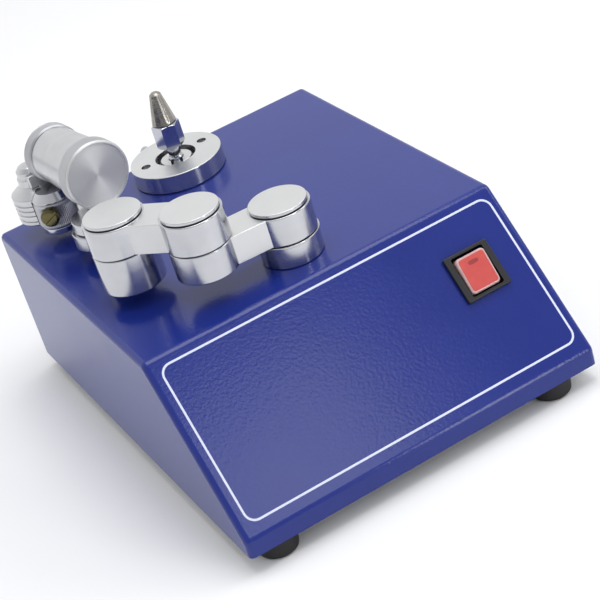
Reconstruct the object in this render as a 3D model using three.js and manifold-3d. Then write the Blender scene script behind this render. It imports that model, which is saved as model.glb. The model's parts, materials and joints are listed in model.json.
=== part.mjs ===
// Powered bench sharpener for dental hand instruments.
// Millimetres, +Z up, front towards -Y. The origin is on the table, under the middle of the machine.
import * as THREE from 'three';
import { mergeVertices } from 'three/addons/utils/BufferGeometryUtils.js';
import Module from 'manifold-3d';

const wasm = await Module();
wasm.setup();

// ---- Clearances ----
const GAP = 0.3; // between faces that seat on each other
const FIT = 0.3; // radial, pin in bore
const PLAY = 0.4; // between faces that slide over each other

// ---- Housing ----
const WIDTH = 200;
const DEPTH = 267.4;
const HEIGHT = 80.5; // cover alone, without feet
const WALL = 1.5;
const LIP = 9.2; // upright front lip below the slope
const SLOPE_RUN = 66.5; // depth taken by the sloping front
const EDGE_R = 2.5;

// ---- Feet ----
const FOOT_R = 10.4;
const FOOT_H = 9.5;
const FOOT_INSET_LEFT = 18;
const FOOT_INSET_RIGHT = 22.5;
const FOOT_INSET_FRONT = 10.9;
const SCREW_R = 1.8;
const SCREW_HEAD_R = 3.8;
const SCREW_HEAD_H = 2.6;

// ---- Switch ----
const SWITCH_SIZE = 25.4; // square bezel
const BEZEL_T = 2.2;
const SWITCH_FROM_RIGHT = 31.4; // bezel centre to the right side
const SWITCH_FROM_BEND = 36.7; // bezel centre to the top bend, along the slope
const ROCKER_W = 17;
const ROCKER_L = 21;
const ROCKER_PROUD = 3.6;
const ROCKER_TILT = 7; // degrees, off position
const BEZEL_LAP = 1.6; // bezel beyond the cut-out in the slope
const SWITCH_DEEP = 18;
const WELL_DEEP = 9;

// ---- Mains inlet, at the back ----
const INLET_X = -55;
const INLET_Z = 34; // above the cover's bottom edge
const INLET_W = 27;
const INLET_H = 20;
const INLET_FLANGE_W = 50;
const INLET_PROUD = 3;
const INLET_FLANGE_H = 23;
const INLET_DEEP = 20; // body behind the back wall
const RECESS_W = 23.6;
const RECESS_H = 16;
const RECESS_DEEP = 16;
const INLET_SCREW_R = 1.5;
const BLADE_W = 4;
const BLADE_T = 2;

// ---- Wiring block, on the base plate ----
const WIRING_FROM_BACK = 66;
const WIRING_W = 30;
const WIRING_D = 16;
const WIRING_H = 14;
const WIRING_WELL_R = 2.4; // over each of the three screws

// ---- Spindle ----
const SPINDLE_X = 2.6;
const SPINDLE_FROM_BACK = 32.4;
const FLANGE_R = 26.2;
const FLANGE_H = 10.6;
const SPIGOT_R = 14.3;
const SPIGOT_L = 16.5; // below the cover's top face
const BEARING_R = 11;
const BEARING_H = 7;
const SHAFT_R = 4;
const NECK_R = 3.4;
const HUB_R = 9;
const HUB_SLOT_W = 1.5;
const HUB_SLOT_APART = 5.4; // between the two slots' middles
const HUB_SLOT_TURN = -20; // degrees
const HEX_AF = 14;
const HEX_FROM = 17.4; // heights above the top face
const HEX_H = 13.6;
const HEX_TURN = 19; // degrees
const CONE_BASE_R = 6.9;
const CONE_TIP_R = 3.3;
const CONE_H = 18.7;
const CONE_SPIGOT_R = 2.5;
const CONE_SPIGOT_L = 4.2;
const FLANGE_SCREW_R = 2.4;
const FLANGE_SCREW_BACK = 2; // screws' middles behind the spindle axis
const FLANGE_SCREW_WEB = 1.1; // metal between a flange screw and the spigot's outside

// ---- Motor ----
const MOTOR_R = 26;
const MOTOR_FLOOR_CLEAR = 5;
const COUPLING_L = 15;
const BRACKET_T = 2.5;
const BRACKET_W = 62;
const BRACKET_D = 58;
const BRACKET_TAB = 12; // tabs that reach out under the top face
const BRACKET_DROP = 38; // top of the bracket's shelf below the cover's top face
const MOTOR_SHAFT_R = 3;
const MOTOR_WALL = 2;
const ROTOR_R = 13.4;
const STATOR_BORE_R = 14;
const COUPLING_R = 8;
const BELL_NECK_R = 9;

// ---- Arm ----
const POST_FROM_BEND = 28.5;
const POST_H = 12.6;
const POST_RIM_R = 16.9; // thin rim round the post's top
const POST_RIM_H = 1.1;
const EYE_R = 16.2;
const BAR_W = 21.5;
const LINK_H = 15.4; // lower link
const UPPER_LINK_H = 16.4;
const CAP_R = 15;
const CAP_T = 1.7;
const CAP_GROOVE = 0.5;
const PIN_R = 4;
const BUSH_R = 6.2;
const LOWER_LINK = [43.4, 177.2]; // length, direction in degrees from +X
const UPPER_LINK = [42.8, 130.9];
const WRIST_LINK = [59.1, 82.4];
const WRIST_LIFT = 8.1; // underside of the wrist link above the top face
const WRIST_BAR_H = 8;
const WRIST_EYE_R = 15.8;

// ---- Guide head, in its own frame: +Y runs back along the drum, the swivel axis is at 0, 0 ----
const HEAD_TURN = 6; // degrees
const DRUM_X = 4.8;
const DRUM_LIFT = 45.6; // drum axis above the top face
const KNOB_R = 18.3;
const KNOB_T = 9.4;
const KNOB_FACE = -9.8; // front of the knob
const DRUM_R_FRONT = 16.2;
const DRUM_R_BACK = 14.9;
const DRUM_L = 37.1;
const DISC_R = 15.8;
const DISC_T = 7.7;
const TILT_SHAFT_R = 5;
const CHUCK_X = -4.7;
const CHUCK_FROM_DISC = -5.4; // chuck axis behind the disc's back face
const CHUCK_R = 12;
const CHUCK_H = 14.7;
const NOSE_R = 11.2;
const NOSE_H = 3.5;
const NOSE_LIFT = 6; // nose ring above the top face
const CHUCK_BORE_R = 4.7;
const SPIGOT_TOP_R = 7;
const CARRIER_SCREW_R = 2;
const CLAMP_SCREW_R = 2.2;
const PEDESTAL_R = 14;
const PEDESTAL_NECK_R = 9.5;
const TAIL_DEEP = 6.5; // carrier plate behind the disc
const BLOCK_R = 13.8;
const BLOCK_X = -7.8;
const BLOCK_BEHIND = 14.5; // block axis behind the chuck axis
const BOSS_TOP_R = 8.6; // narrow end of the cone over the chuck
const BOSS_ROOF = 1.5; // metal left over the chuck's spigot
const CLAMP_ANGLE = 229;
const CLAMP_LIFT = 9.2; // above the sleeve's lower end
const CLAMP_R = 5;

// ---- Derived places ----
const TOP = FOOT_H + HEIGHT;
const SLOPE = Math.atan2(HEIGHT - LIP, SLOPE_RUN);
const SLOPE_L = Math.hypot(HEIGHT - LIP, SLOPE_RUN);
const SPINDLE_Y = DEPTH - SPINDLE_FROM_BACK;
const POST_Y = SLOPE_RUN + POST_FROM_BEND;
const DEG = Math.PI / 180;

const machine = new THREE.Group();
machine.position.set(0, -(DEPTH + INLET_PROUD) / 2, 0);

// ---- Solids ----
function toSolid(geometry) {
  const bare = geometry.index ? geometry.toNonIndexed() : geometry.clone();
  bare.deleteAttribute('normal');
  bare.deleteAttribute('uv');
  const merged = mergeVertices(bare, 1e-4);
  const vertices = merged.attributes.position.array;
  const corners = Uint32Array.from(merged.index.array);
  let volume = 0;
  const [a, b, c] = [new THREE.Vector3(), new THREE.Vector3(), new THREE.Vector3()];
  for (let i = 0; i < corners.length; i += 3) {
    a.fromArray(vertices, corners[i] * 3);
    b.fromArray(vertices, corners[i + 1] * 3);
    c.fromArray(vertices, corners[i + 2] * 3);
    volume += a.dot(b.cross(c));
  }
  if (volume < 0) corners.reverse();
  const mesh = new wasm.Mesh({ numProp: 3, vertProperties: Float32Array.from(vertices), triVerts: corners });
  mesh.merge();
  return new wasm.Manifold(mesh);
}

function toGeometry(solid) {
  const mesh = solid.getMesh();
  const geometry = new THREE.BufferGeometry();
  geometry.setAttribute('position', new THREE.BufferAttribute(mesh.vertProperties.slice(), 3));
  geometry.setIndex(new THREE.BufferAttribute(mesh.triVerts.slice(), 1));
  geometry.computeVertexNormals();
  return geometry;
}

// A turned solid about a vertical axis through x, y; the profile runs [radius, height] from the
// bottom of the axis to its top.
function turned(profile, x = 0, y = 0, sides = 28) {
  const points = profile.map(([r, z]) => new THREE.Vector2(r, z));
  const geometry = new THREE.LatheGeometry(points, sides);
  geometry.rotateX(Math.PI / 2);
  return toSolid(geometry).translate([x, y, 0]);
}

function rod(r, z0, z1, x = 0, y = 0, sides = 28) {
  return turned([[0, z0], [r, z0], [r, z1], [0, z1]], x, y, sides);
}

// A rod with a chamfer c on its top and bottom edges.
function softRod(r, z0, z1, c, x = 0, y = 0, sides = 28) {
  return turned([[0, z0], [r - c, z0], [r, z0 + c], [r, z1 - c], [r - c, z1], [0, z1]], x, y, sides);
}

function ring(outer, inner, z0, z1, x = 0, y = 0, sides = 28) {
  return rod(outer, z0, z1, x, y, sides).subtract(rod(inner, z0 - 1, z1 + 1, x, y, sides));
}

// A box from its two corners.
function block([x0, y0, z0], [x1, y1, z1]) {
  const geometry = new THREE.BoxGeometry(x1 - x0, y1 - y0, z1 - z0);
  geometry.translate((x0 + x1) / 2, (y0 + y1) / 2, (z0 + z1) / 2);
  return toSolid(geometry);
}

// Lays a solid made about the Z axis down along +Y, with its axis at x and height z.
function alongY(solid, x, z) {
  return solid.rotate([-90, 0, 0]).translate([x, 0, z]);
}

function finish(colour, roughness, metalness) {
  return () => new THREE.MeshStandardMaterial({ color: colour, roughness, metalness });
}
const powderCoat = finish(0x26348f, 0.35, 0.0);
const zincSteel = finish(0xa9adb2, 0.45, 0.9);
const satinAluminium = finish(0xd6d7d8, 0.35, 0.9);
const turnedAluminium = finish(0xbfc0c2, 0.28, 0.95);
const chrome = finish(0xc9ccd6, 0.12, 1.0);
const bronze = finish(0x9a7a45, 0.4, 0.9);
const brass = finish(0x6d6230, 0.35, 0.9);
const honingSteel = finish(0x7d7565, 0.45, 0.8);
const blackRubber = finish(0x151314, 0.85, 0.0);
const blackPlastic = finish(0x101113, 0.5, 0.0);
const redLens = finish(0xd8402f, 0.2, 0.0);
const copperBrown = finish(0x7a4a2c, 0.6, 0.4);
const nylonWhite = finish(0xd9d8d2, 0.6, 0.0);

function part(parent, name, solid, material) {
  const mesh = new THREE.Mesh(toGeometry(solid), material());
  mesh.name = name;
  parent.add(mesh);
  return mesh;
}

// ---- Cover: folded sheet with a sloping front, open below ----
// Side profile as [depth, height above the bottom edge], moved in by inset.
function profile(inset) {
  const below = -5; // runs past the bottom edge, which is cut square afterwards
  const rise = Math.tan(SLOPE);
  const lipTop = LIP + inset * rise - inset / Math.cos(SLOPE);
  const slopeEnd = SLOPE_RUN + inset / Math.sin(SLOPE) - inset / rise;
  return [
    [inset, below], [inset, lipTop], [slopeEnd, HEIGHT - inset], [DEPTH - inset, HEIGHT - inset],
    [DEPTH - inset, below],
  ];
}

// A closed outline through the corners, each rounded by radius r.
function roundedShape(corners, r) {
  const shape = new THREE.Shape();
  corners.forEach((corner, i) => {
    const here = new THREE.Vector2(...corner);
    const back = new THREE.Vector2(...corners.at(i - 1)).sub(here).normalize();
    const ahead = new THREE.Vector2(...corners[(i + 1) % corners.length]).sub(here).normalize();
    const half = Math.acos(back.dot(ahead)) / 2;
    const steps = 5;
    const middle = back.clone().add(ahead).setLength(r / Math.sin(half)).add(here);
    const from = back.clone().multiplyScalar(r / Math.tan(half)).add(here).sub(middle);
    const turn = Math.sign(ahead.cross(back)) * (Math.PI - 2 * half);
    for (let step = 0; step <= steps; step++) {
      const point = from.clone().rotateAround(new THREE.Vector2(), (turn * step) / steps).add(middle);
      if (i + step === 0) shape.moveTo(point.x, point.y);
      else shape.lineTo(point.x, point.y);
    }
  });
  shape.closePath();
  return shape;
}

// Extrudes a side profile across the width; a bevel rounds the edges of the two sides.
function acrossWidth(shape, width, bevel) {
  const geometry = new THREE.ExtrudeGeometry(shape, {
    depth: width - 2 * bevel,
    curveSegments: 4,
    bevelEnabled: bevel > 0,
    bevelThickness: bevel,
    bevelSize: bevel,
    bevelOffset: -bevel,
    bevelSegments: 3,
  });
  geometry.translate(0, 0, -(width - 2 * bevel) / 2);
  const axes = new THREE.Matrix4().makeBasis(
    new THREE.Vector3(0, 1, 0), new THREE.Vector3(0, 0, 1), new THREE.Vector3(1, 0, 0));
  geometry.applyMatrix4(axes);
  return toSolid(geometry);
}

// Moves a solid made flat about the slope's own frame (x across, y up the slope, z out of it)
// onto the slope, with its origin at the switch's centre.
const switchAlong = SLOPE_L - SWITCH_FROM_BEND;
const switchPlace = new THREE.Vector3(
  WIDTH / 2 - SWITCH_FROM_RIGHT,
  switchAlong * Math.cos(SLOPE),
  FOOT_H + LIP + switchAlong * Math.sin(SLOPE));
function onSlope(solid) {
  return solid.rotate([SLOPE / DEG, 0, 0]).translate(switchPlace.toArray());
}

const footPlaces = {
  front_left: [-WIDTH / 2 + FOOT_INSET_LEFT, FOOT_INSET_FRONT],
  front_right: [WIDTH / 2 - FOOT_INSET_RIGHT, FOOT_INSET_FRONT],
  back_left: [-WIDTH / 2 + FOOT_INSET_LEFT, DEPTH - FOOT_INSET_FRONT],
  back_right: [WIDTH / 2 - FOOT_INSET_RIGHT, DEPTH - FOOT_INSET_FRONT],
};

function coverShell() {
  const outer = acrossWidth(roundedShape(profile(0), EDGE_R), WIDTH, EDGE_R - 0.3);
  const inner = acrossWidth(roundedShape(profile(WALL), 1), WIDTH - 2 * WALL, 0);
  let shell = outer.subtract(inner).translate([0, 0, FOOT_H]);
  shell = shell.subtract(block([-WIDTH, -DEPTH, FOOT_H - 10], [WIDTH, 2 * DEPTH, FOOT_H]));
  // Welded nut blocks over the feet, reaching the side wall and the front or back wall.
  const half = 7;
  const low = FOOT_H + WALL + GAP;
  const high = FOOT_H + LIP - 0.8;
  for (const [x, y] of Object.values(footPlaces)) {
    const side = Math.sign(x) * (WIDTH / 2 - WALL / 2);
    const end = y < DEPTH / 2 ? WALL / 2 : DEPTH - WALL / 2;
    const inX = x - Math.sign(x) * half;
    const inY = y < DEPTH / 2 ? y + half : y - half;
    shell = shell.add(block(
      [Math.min(side, inX), Math.min(end, inY), low], [Math.max(side, inX), Math.max(end, inY), high]));
    shell = shell.subtract(rod(SCREW_R + FIT, low - 1, high + 1, x, y, 16));
  }
  const cutout = SWITCH_SIZE / 2 - BEZEL_LAP;
  shell = shell.subtract(onSlope(block([-cutout, -cutout, -10], [cutout, cutout, 10])));
  shell = shell.subtract(rod(SPIGOT_R + FIT, TOP - 10, TOP + 10, SPINDLE_X, SPINDLE_Y));
  shell = shell.subtract(rod(PIN_R + FIT, TOP - 10, TOP + 10, 0, POST_Y, 24));
  for (const place of flangeScrewPlaces()) {
    shell = shell.subtract(rod(FLANGE_SCREW_R + FIT, TOP - 10, TOP + 10, ...place, 24));
  }
  shell = shell.subtract(block(
    [INLET_X - INLET_W / 2 - GAP, DEPTH - 5, FOOT_H + INLET_Z - INLET_H / 2 - GAP],
    [INLET_X + INLET_W / 2 + GAP, DEPTH + 5, FOOT_H + INLET_Z + INLET_H / 2 + GAP]));
  for (const x of inletScrewX) {
    const hole = alongY(rod(INLET_SCREW_R + FIT, DEPTH - 5, DEPTH + 5, 0, 0, 16), x, FOOT_H + INLET_Z);
    shell = shell.subtract(hole);
  }
  // Cooling slots beside the motor.
  for (let i = 0; i < 6; i++) {
    const x = 42 + i * 7;
    shell = shell.subtract(block([x - 1.5, DEPTH - 5, FOOT_H + 22], [x + 1.5, DEPTH + 5, FOOT_H + 52]));
  }
  return shell;
}

function flangeScrewPlaces() {
  const out = SPIGOT_R + FLANGE_SCREW_WEB + FLANGE_SCREW_R;
  return [-1, 1].map((side) => [SPINDLE_X + side * out, SPINDLE_Y + FLANGE_SCREW_BACK]);
}
const inletScrewX = [-1, 1].map((side) => INLET_X + side * (INLET_FLANGE_W / 2 - 5));

part(machine, 'cover_shell', coverShell(), powderCoat);

// ---- Base plate, feet and their screws ----
const innerHalf = WIDTH / 2 - WALL - GAP;
let basePlate = block([-innerHalf, WALL + GAP, FOOT_H], [innerHalf, DEPTH - WALL - GAP, FOOT_H + WALL]);
for (const [x, y] of Object.values(footPlaces)) {
  basePlate = basePlate.subtract(rod(SCREW_R + FIT, 0, FOOT_H + 5, x, y, 16));
}
part(machine, 'base_plate', basePlate, zincSteel);

for (const [place, [x, y]] of Object.entries(footPlaces)) {
  const footTop = FOOT_H - GAP;
  const counterbore = 5;
  const foot = turned([
    [0, 0], [FOOT_R - 1.6, 0], [FOOT_R - 0.5, 0.6], [FOOT_R, 2], [FOOT_R, footTop], [0, footTop],
  ], x, y, 28)
    .subtract(rod(SCREW_HEAD_R + FIT, -1, counterbore, x, y, 20))
    .subtract(rod(SCREW_R + FIT, 0, FOOT_H, x, y, 16));
  part(machine, `foot_${place}`, foot, blackRubber);
  const headTop = counterbore - GAP;
  const screw = rod(SCREW_R, headTop - 0.5, FOOT_H + LIP - 1.2, x, y, 16)
    .add(softRod(SCREW_HEAD_R, headTop - SCREW_HEAD_H, headTop, 0.5, x, y, 16))
    .subtract(block([x - 3, y - 0.5, 0], [x + 3, y + 0.5, headTop - SCREW_HEAD_H + 1.1]))
    .subtract(block([x - 0.5, y - 3, 0], [x + 0.5, y + 3, headTop - SCREW_HEAD_H + 1.1]));
  part(machine, `foot_screw_${place}`, screw, zincSteel);
}

// ---- Rocker switch: a square black body snapped into the slope, with a lit red rocker ----
const bezelHalf = SWITCH_SIZE / 2;
const bodyHalf = bezelHalf - BEZEL_LAP - GAP;
const wellX = ROCKER_W / 2 + 1.2;
const wellY = ROCKER_L / 2 + 0.6;
const switchBody = block([-bezelHalf, -bezelHalf, GAP], [bezelHalf, bezelHalf, BEZEL_T + GAP])
  .add(block([-bodyHalf, -bodyHalf, -SWITCH_DEEP], [bodyHalf, bodyHalf, BEZEL_T]))
  .subtract(block([-wellX, -wellY, -WELL_DEEP], [wellX, wellY, 10]));
part(machine, 'switch_body', onSlope(switchBody), blackPlastic);

const rockerShape = new THREE.Shape();
const rockerHalf = ROCKER_L / 2 - 0.9;
rockerShape.moveTo(-rockerHalf, ROCKER_PROUD);
rockerShape.quadraticCurveTo(0, ROCKER_PROUD - 1.4, rockerHalf, ROCKER_PROUD);
rockerShape.lineTo(rockerHalf - 1.6, -3);
rockerShape.lineTo(3, -7);
rockerShape.lineTo(-3, -7);
rockerShape.lineTo(-rockerHalf + 1.6, -3);
rockerShape.closePath();
const rocker = acrossWidth(rockerShape, ROCKER_W, 0.6).rotate([ROCKER_TILT, 0, 0]);
part(machine, 'switch_rocker', onSlope(rocker), redLens);

// ---- Mains inlet with three blades and two screws ----
const inletZ = FOOT_H + INLET_Z;
const inletFlange = DEPTH + GAP;
const inletBody = block(
  [INLET_X - INLET_FLANGE_W / 2, inletFlange, inletZ - INLET_FLANGE_H / 2],
  [INLET_X + INLET_FLANGE_W / 2, DEPTH + INLET_PROUD, inletZ + INLET_FLANGE_H / 2])
  .add(block(
    [INLET_X - INLET_W / 2, DEPTH - INLET_DEEP, inletZ - INLET_H / 2],
    [INLET_X + INLET_W / 2, inletFlange + 0.5, inletZ + INLET_H / 2]))
  .subtract(block(
    [INLET_X - RECESS_W / 2, DEPTH + INLET_PROUD - RECESS_DEEP, inletZ - RECESS_H / 2],
    [INLET_X + RECESS_W / 2, DEPTH + 10, inletZ + RECESS_H / 2]));
const bladePlaces = { line: [-7, -2], neutral: [7, -2], earth: [0, 2.5] };
let inletWithHoles = inletBody;
for (const [x, z] of Object.values(bladePlaces)) {
  inletWithHoles = inletWithHoles.subtract(block(
    [INLET_X + x - BLADE_W / 2 - GAP, DEPTH - 30, inletZ + z - BLADE_T / 2 - GAP],
    [INLET_X + x + BLADE_W / 2 + GAP, DEPTH, inletZ + z + BLADE_T / 2 + GAP]));
}
for (const x of inletScrewX) {
  inletWithHoles = inletWithHoles.subtract(
    alongY(rod(INLET_SCREW_R + FIT, DEPTH - 5, DEPTH + 10, 0, 0, 16), x, inletZ));
}
part(machine, 'inlet_body', inletWithHoles, blackPlastic);
for (const [name, [x, z]] of Object.entries(bladePlaces)) {
  const blade = block(
    [INLET_X + x - BLADE_W / 2, DEPTH - 26, inletZ + z - BLADE_T / 2],
    [INLET_X + x + BLADE_W / 2, DEPTH - 3, inletZ + z + BLADE_T / 2]);
  part(machine, `inlet_blade_${name}`, blade, zincSteel);
}
inletScrewX.forEach((x, i) => {
  const head = DEPTH + INLET_PROUD;
  const screw = rod(INLET_SCREW_R, DEPTH - 8, head - 1.2, 0, 0, 16)
    .add(rod(INLET_SCREW_R + 0.1, head - 1.3, head - 0.1, 0, 0, 16));
  part(machine, `inlet_screw_${i + 1}`, alongY(screw, x, inletZ), zincSteel);
});

// ---- Wiring block on the base plate ----
const wiringY = DEPTH - WIRING_FROM_BACK;
const wiringFloor = FOOT_H + WALL + GAP;
let terminalBlock = block(
  [INLET_X - WIRING_W / 2, wiringY, wiringFloor],
  [INLET_X + WIRING_W / 2, wiringY + WIRING_D, wiringFloor + WIRING_H]);
for (const step of [-1, 0, 1]) {
  const well = rod(WIRING_WELL_R, wiringFloor + WIRING_H / 2, wiringFloor + 20, 0, 0, 20);
  terminalBlock = terminalBlock.subtract(
    well.translate([INLET_X + (step * WIRING_W) / 3, wiringY + WIRING_D / 2, 0]));
}
part(machine, 'terminal_block', terminalBlock, nylonWhite);

// ---- Spindle housing: flange on the top face, spigot through it ----
const axisX = SPINDLE_X;
const axisY = SPINDLE_Y;
let flange = turned([
  [0, TOP - SPIGOT_L], [SPIGOT_R, TOP - SPIGOT_L], [SPIGOT_R, TOP + GAP], [FLANGE_R, TOP + GAP],
  [FLANGE_R, TOP + FLANGE_H - 0.4], [FLANGE_R - 0.4, TOP + FLANGE_H], [0, TOP + FLANGE_H],
], axisX, axisY, 32);
flange = flange.subtract(rod(BEARING_R + FIT, TOP - 40, TOP + 5, axisX, axisY));
flange = flange.subtract(rod(BEARING_R + 0.6, TOP + 4.9, TOP + 20, axisX, axisY));
for (const place of flangeScrewPlaces()) {
  flange = flange.subtract(rod(FLANGE_SCREW_R + FIT, TOP - 5, TOP + 20, ...place, 24));
}
const thumbTurn = 12; // degrees from straight back
const thumbSocket = alongY(rod(1.5 + FIT, 18, 40, 0, 0, 16), 0, TOP + 6).rotate([0, 0, thumbTurn])
  .translate([axisX, axisY, 0]);
part(machine, 'spindle_flange', flange.subtract(thumbSocket), satinAluminium);
flangeScrewPlaces().forEach((place, i) => {
  const screw = rod(FLANGE_SCREW_R, TOP - 7, TOP + FLANGE_H - 2.4, ...place, 24)
    .subtract(block(
      [place[0] - 2, place[1] - 0.5, TOP + FLANGE_H - 3.6], [place[0] + 2, place[1] + 0.5, TOP + FLANGE_H]));
  part(machine, `flange_screw_${i + 1}`, screw, zincSteel);
});
const thumbScrew = alongY(
  rod(1.5, 18.5, FLANGE_R + 1, 0, 0, 16).add(softRod(3, FLANGE_R + GAP, FLANGE_R + 6.6, 0.5, 0, 0, 24)),
  0, TOP + 6).rotate([0, 0, thumbTurn]).translate([axisX, axisY, 0]);
part(machine, 'flange_set_screw', thumbScrew, satinAluminium);
const bearingTop = TOP + 4.7;
const bearings = { upper: bearingTop, lower: TOP - SPIGOT_L + BEARING_H + 0.5 };
for (const [name, top] of Object.entries(bearings)) {
  const bearing = ring(BEARING_R, SHAFT_R + FIT, top - BEARING_H, top, axisX, axisY, 32);
  part(machine, `bearing_${name}`, bearing, chrome);
}

// ---- Spindle: everything that turns with the motor ----
const shaftBottom = TOP - SPIGOT_L - 8;
const spindleShaft = turned([
  [0, shaftBottom], [SHAFT_R, shaftBottom], [SHAFT_R, TOP + FLANGE_H - 0.6], [NECK_R, TOP + FLANGE_H],
  [NECK_R, TOP + HEX_FROM + 6], [0, TOP + HEX_FROM + 6],
], axisX, axisY, 24);
part(machine, 'spindle_shaft', spindleShaft, chrome);

let hub = ring(HUB_R, SHAFT_R + FIT, bearingTop + GAP, TOP + FLANGE_H - 1.4, axisX, axisY, 32);
for (const side of [-1, 1]) {
  const middle = (side * HUB_SLOT_APART) / 2;
  const slot = block([middle - HUB_SLOT_W / 2, -20, TOP + 7], [middle + HUB_SLOT_W / 2, 20, TOP + 20]);
  hub = hub.subtract(slot.rotate([0, 0, HUB_SLOT_TURN]).translate([axisX, axisY, 0]));
}
part(machine, 'hub_collar', hub, turnedAluminium);

const hexR = HEX_AF / 2 / Math.cos(30 * DEG);
const hexTop = TOP + HEX_FROM + HEX_H;
const hexPrism = turned([
  [0, TOP + HEX_FROM], [hexR, TOP + HEX_FROM], [hexR, hexTop], [0, hexTop],
], 0, 0, 6).rotate([0, 0, HEX_TURN]).translate([axisX, axisY, 0]);
const hexChamfer = turned([
  [0, TOP + HEX_FROM], [HEX_AF / 2, TOP + HEX_FROM], [hexR + 0.2, TOP + HEX_FROM + 0.8],
  [hexR + 0.2, hexTop - 0.9], [HEX_AF / 2 - 0.2, hexTop], [0, hexTop],
], axisX, axisY, 24);
const hexArbor = hexPrism.intersect(hexChamfer)
  .subtract(rod(NECK_R + FIT, TOP, TOP + HEX_FROM + 6 + GAP, axisX, axisY, 24))
  .subtract(rod(CONE_SPIGOT_R + FIT, hexTop - CONE_SPIGOT_L - GAP, hexTop + 5, axisX, axisY, 24));
part(machine, 'hex_arbor', hexArbor, chrome);

const coneFrom = hexTop + GAP;
const coneTop = coneFrom + CONE_H;
const cone = turned([
  [0, hexTop - CONE_SPIGOT_L], [CONE_SPIGOT_R, hexTop - CONE_SPIGOT_L], [CONE_SPIGOT_R, coneFrom],
  [CONE_BASE_R - 0.3, coneFrom],
  [CONE_BASE_R, coneFrom + 0.5], [CONE_TIP_R, coneTop - 1.6], [CONE_TIP_R - 0.9, coneTop - 0.5],
  [CONE_TIP_R - 2, coneTop], [0, coneTop],
], axisX, axisY, 24);
part(machine, 'honing_cone', cone, honingSteel);

// ---- Motor, hung under the top face on a bracket ----
const shelfTop = TOP - BRACKET_DROP;
const couplingTop = shaftBottom + COUPLING_L / 2;
const couplingMiddle = couplingTop - COUPLING_L / 2;
const couplingFloor = couplingTop - COUPLING_L;
const coupling = rod(COUPLING_R, couplingFloor, couplingTop, axisX, axisY, 24)
  .subtract(rod(SHAFT_R + FIT, couplingMiddle, couplingTop + 1, axisX, axisY, 24))
  .subtract(rod(MOTOR_SHAFT_R + FIT, couplingFloor - 1, couplingMiddle + 1, axisX, axisY, 24));
part(machine, 'shaft_coupling', coupling, turnedAluminium);

const legX = BRACKET_W / 2;
const bracketY = [axisY - BRACKET_D / 2, axisY + BRACKET_D / 2];
const ceiling = TOP - WALL - GAP;
let bracket = block([axisX - legX, bracketY[0], shelfTop - BRACKET_T], [axisX + legX, bracketY[1], shelfTop]);
for (const side of [-1, 1]) {
  const inner = legX - BRACKET_T;
  const leg = block([inner, bracketY[0], shelfTop - BRACKET_T], [legX, bracketY[1], ceiling]);
  const tab = block([inner, bracketY[0], ceiling - BRACKET_T], [legX + BRACKET_TAB, bracketY[1], ceiling]);
  const wing = leg.add(tab);
  bracket = bracket.add((side < 0 ? wing.mirror([1, 0, 0]) : wing).translate([axisX, 0, 0]));
}
bracket = bracket.subtract(rod(BELL_NECK_R + 1, shelfTop - 10, shelfTop + 5, axisX, axisY, 24));
part(machine, 'motor_bracket', bracket, zincSteel);

const canTop = shelfTop - BRACKET_T - GAP - 4;
const canFloor = FOOT_H + WALL + MOTOR_FLOOR_CLEAR;
const endBell = turned([
  [0, canTop + GAP], [MOTOR_R, canTop + GAP], [MOTOR_R, shelfTop - BRACKET_T - GAP - 0.6],
  [MOTOR_R - 0.6, shelfTop - BRACKET_T - GAP], [BELL_NECK_R, shelfTop - BRACKET_T - GAP],
  [BELL_NECK_R, shelfTop - 0.5],
  [0, shelfTop - 0.5],
], axisX, axisY, 24).subtract(rod(MOTOR_SHAFT_R + FIT, canTop - 5, shelfTop + 5, axisX, axisY, 24));
part(machine, 'motor_end_bell', endBell, turnedAluminium);
const can = softRod(MOTOR_R, canFloor, canTop, 1, axisX, axisY)
  .subtract(rod(MOTOR_R - MOTOR_WALL, canFloor + MOTOR_WALL, canTop + 5, axisX, axisY));
part(machine, 'motor_can', can, blackPlastic);
const windingBottom = canFloor + MOTOR_WALL + 3;
const windingTop = canTop - 3;
part(machine, 'motor_stator',
  ring(MOTOR_R - MOTOR_WALL - GAP, STATOR_BORE_R, windingBottom, windingTop, axisX, axisY), copperBrown);
const rotor = rod(ROTOR_R, windingBottom + 1, windingTop - 1, axisX, axisY, 32)
  .add(rod(MOTOR_SHAFT_R, canFloor + MOTOR_WALL + GAP, couplingTop - COUPLING_L / 2 - 1, axisX, axisY, 24));
part(machine, 'motor_rotor', rotor, zincSteel);

// ---- Arm: three flat links on a post, each turning on a pinned eye ----
function along([x, y], [length, angle]) {
  return [x + length * Math.cos(angle * DEG), y + length * Math.sin(angle * DEG)];
}
const shoulder = [0, POST_Y];
const elbow = along(shoulder, LOWER_LINK);
const wrist = along(elbow, UPPER_LINK);
const swivel = along(wrist, WRIST_LINK);

const lowerFrom = TOP + POST_H + PLAY;
const lowerTo = lowerFrom + LINK_H;
const upperFrom = lowerTo + PLAY;
const upperTo = upperFrom + UPPER_LINK_H;
const wristFrom = TOP + WRIST_LIFT;
const wristTo = upperFrom - PLAY;

// A flat bar between two places, with square edges.
function bar([x0, y0], [x1, y1], width, z0, z1) {
  const length = Math.hypot(x1 - x0, y1 - y0);
  const angle = Math.atan2(y1 - y0, x1 - x0) / DEG;
  return block([0, -width / 2, z0], [length, width / 2, z1]).rotate([0, 0, angle]).translate([x0, y0, 0]);
}
function eye(place, z0, z1, r = EYE_R) {
  return softRod(r, z0, z1, 0.5, ...place);
}
function bore(place, r, z0, z1) {
  return rod(r, z0, z1, ...place, 24);
}

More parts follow.
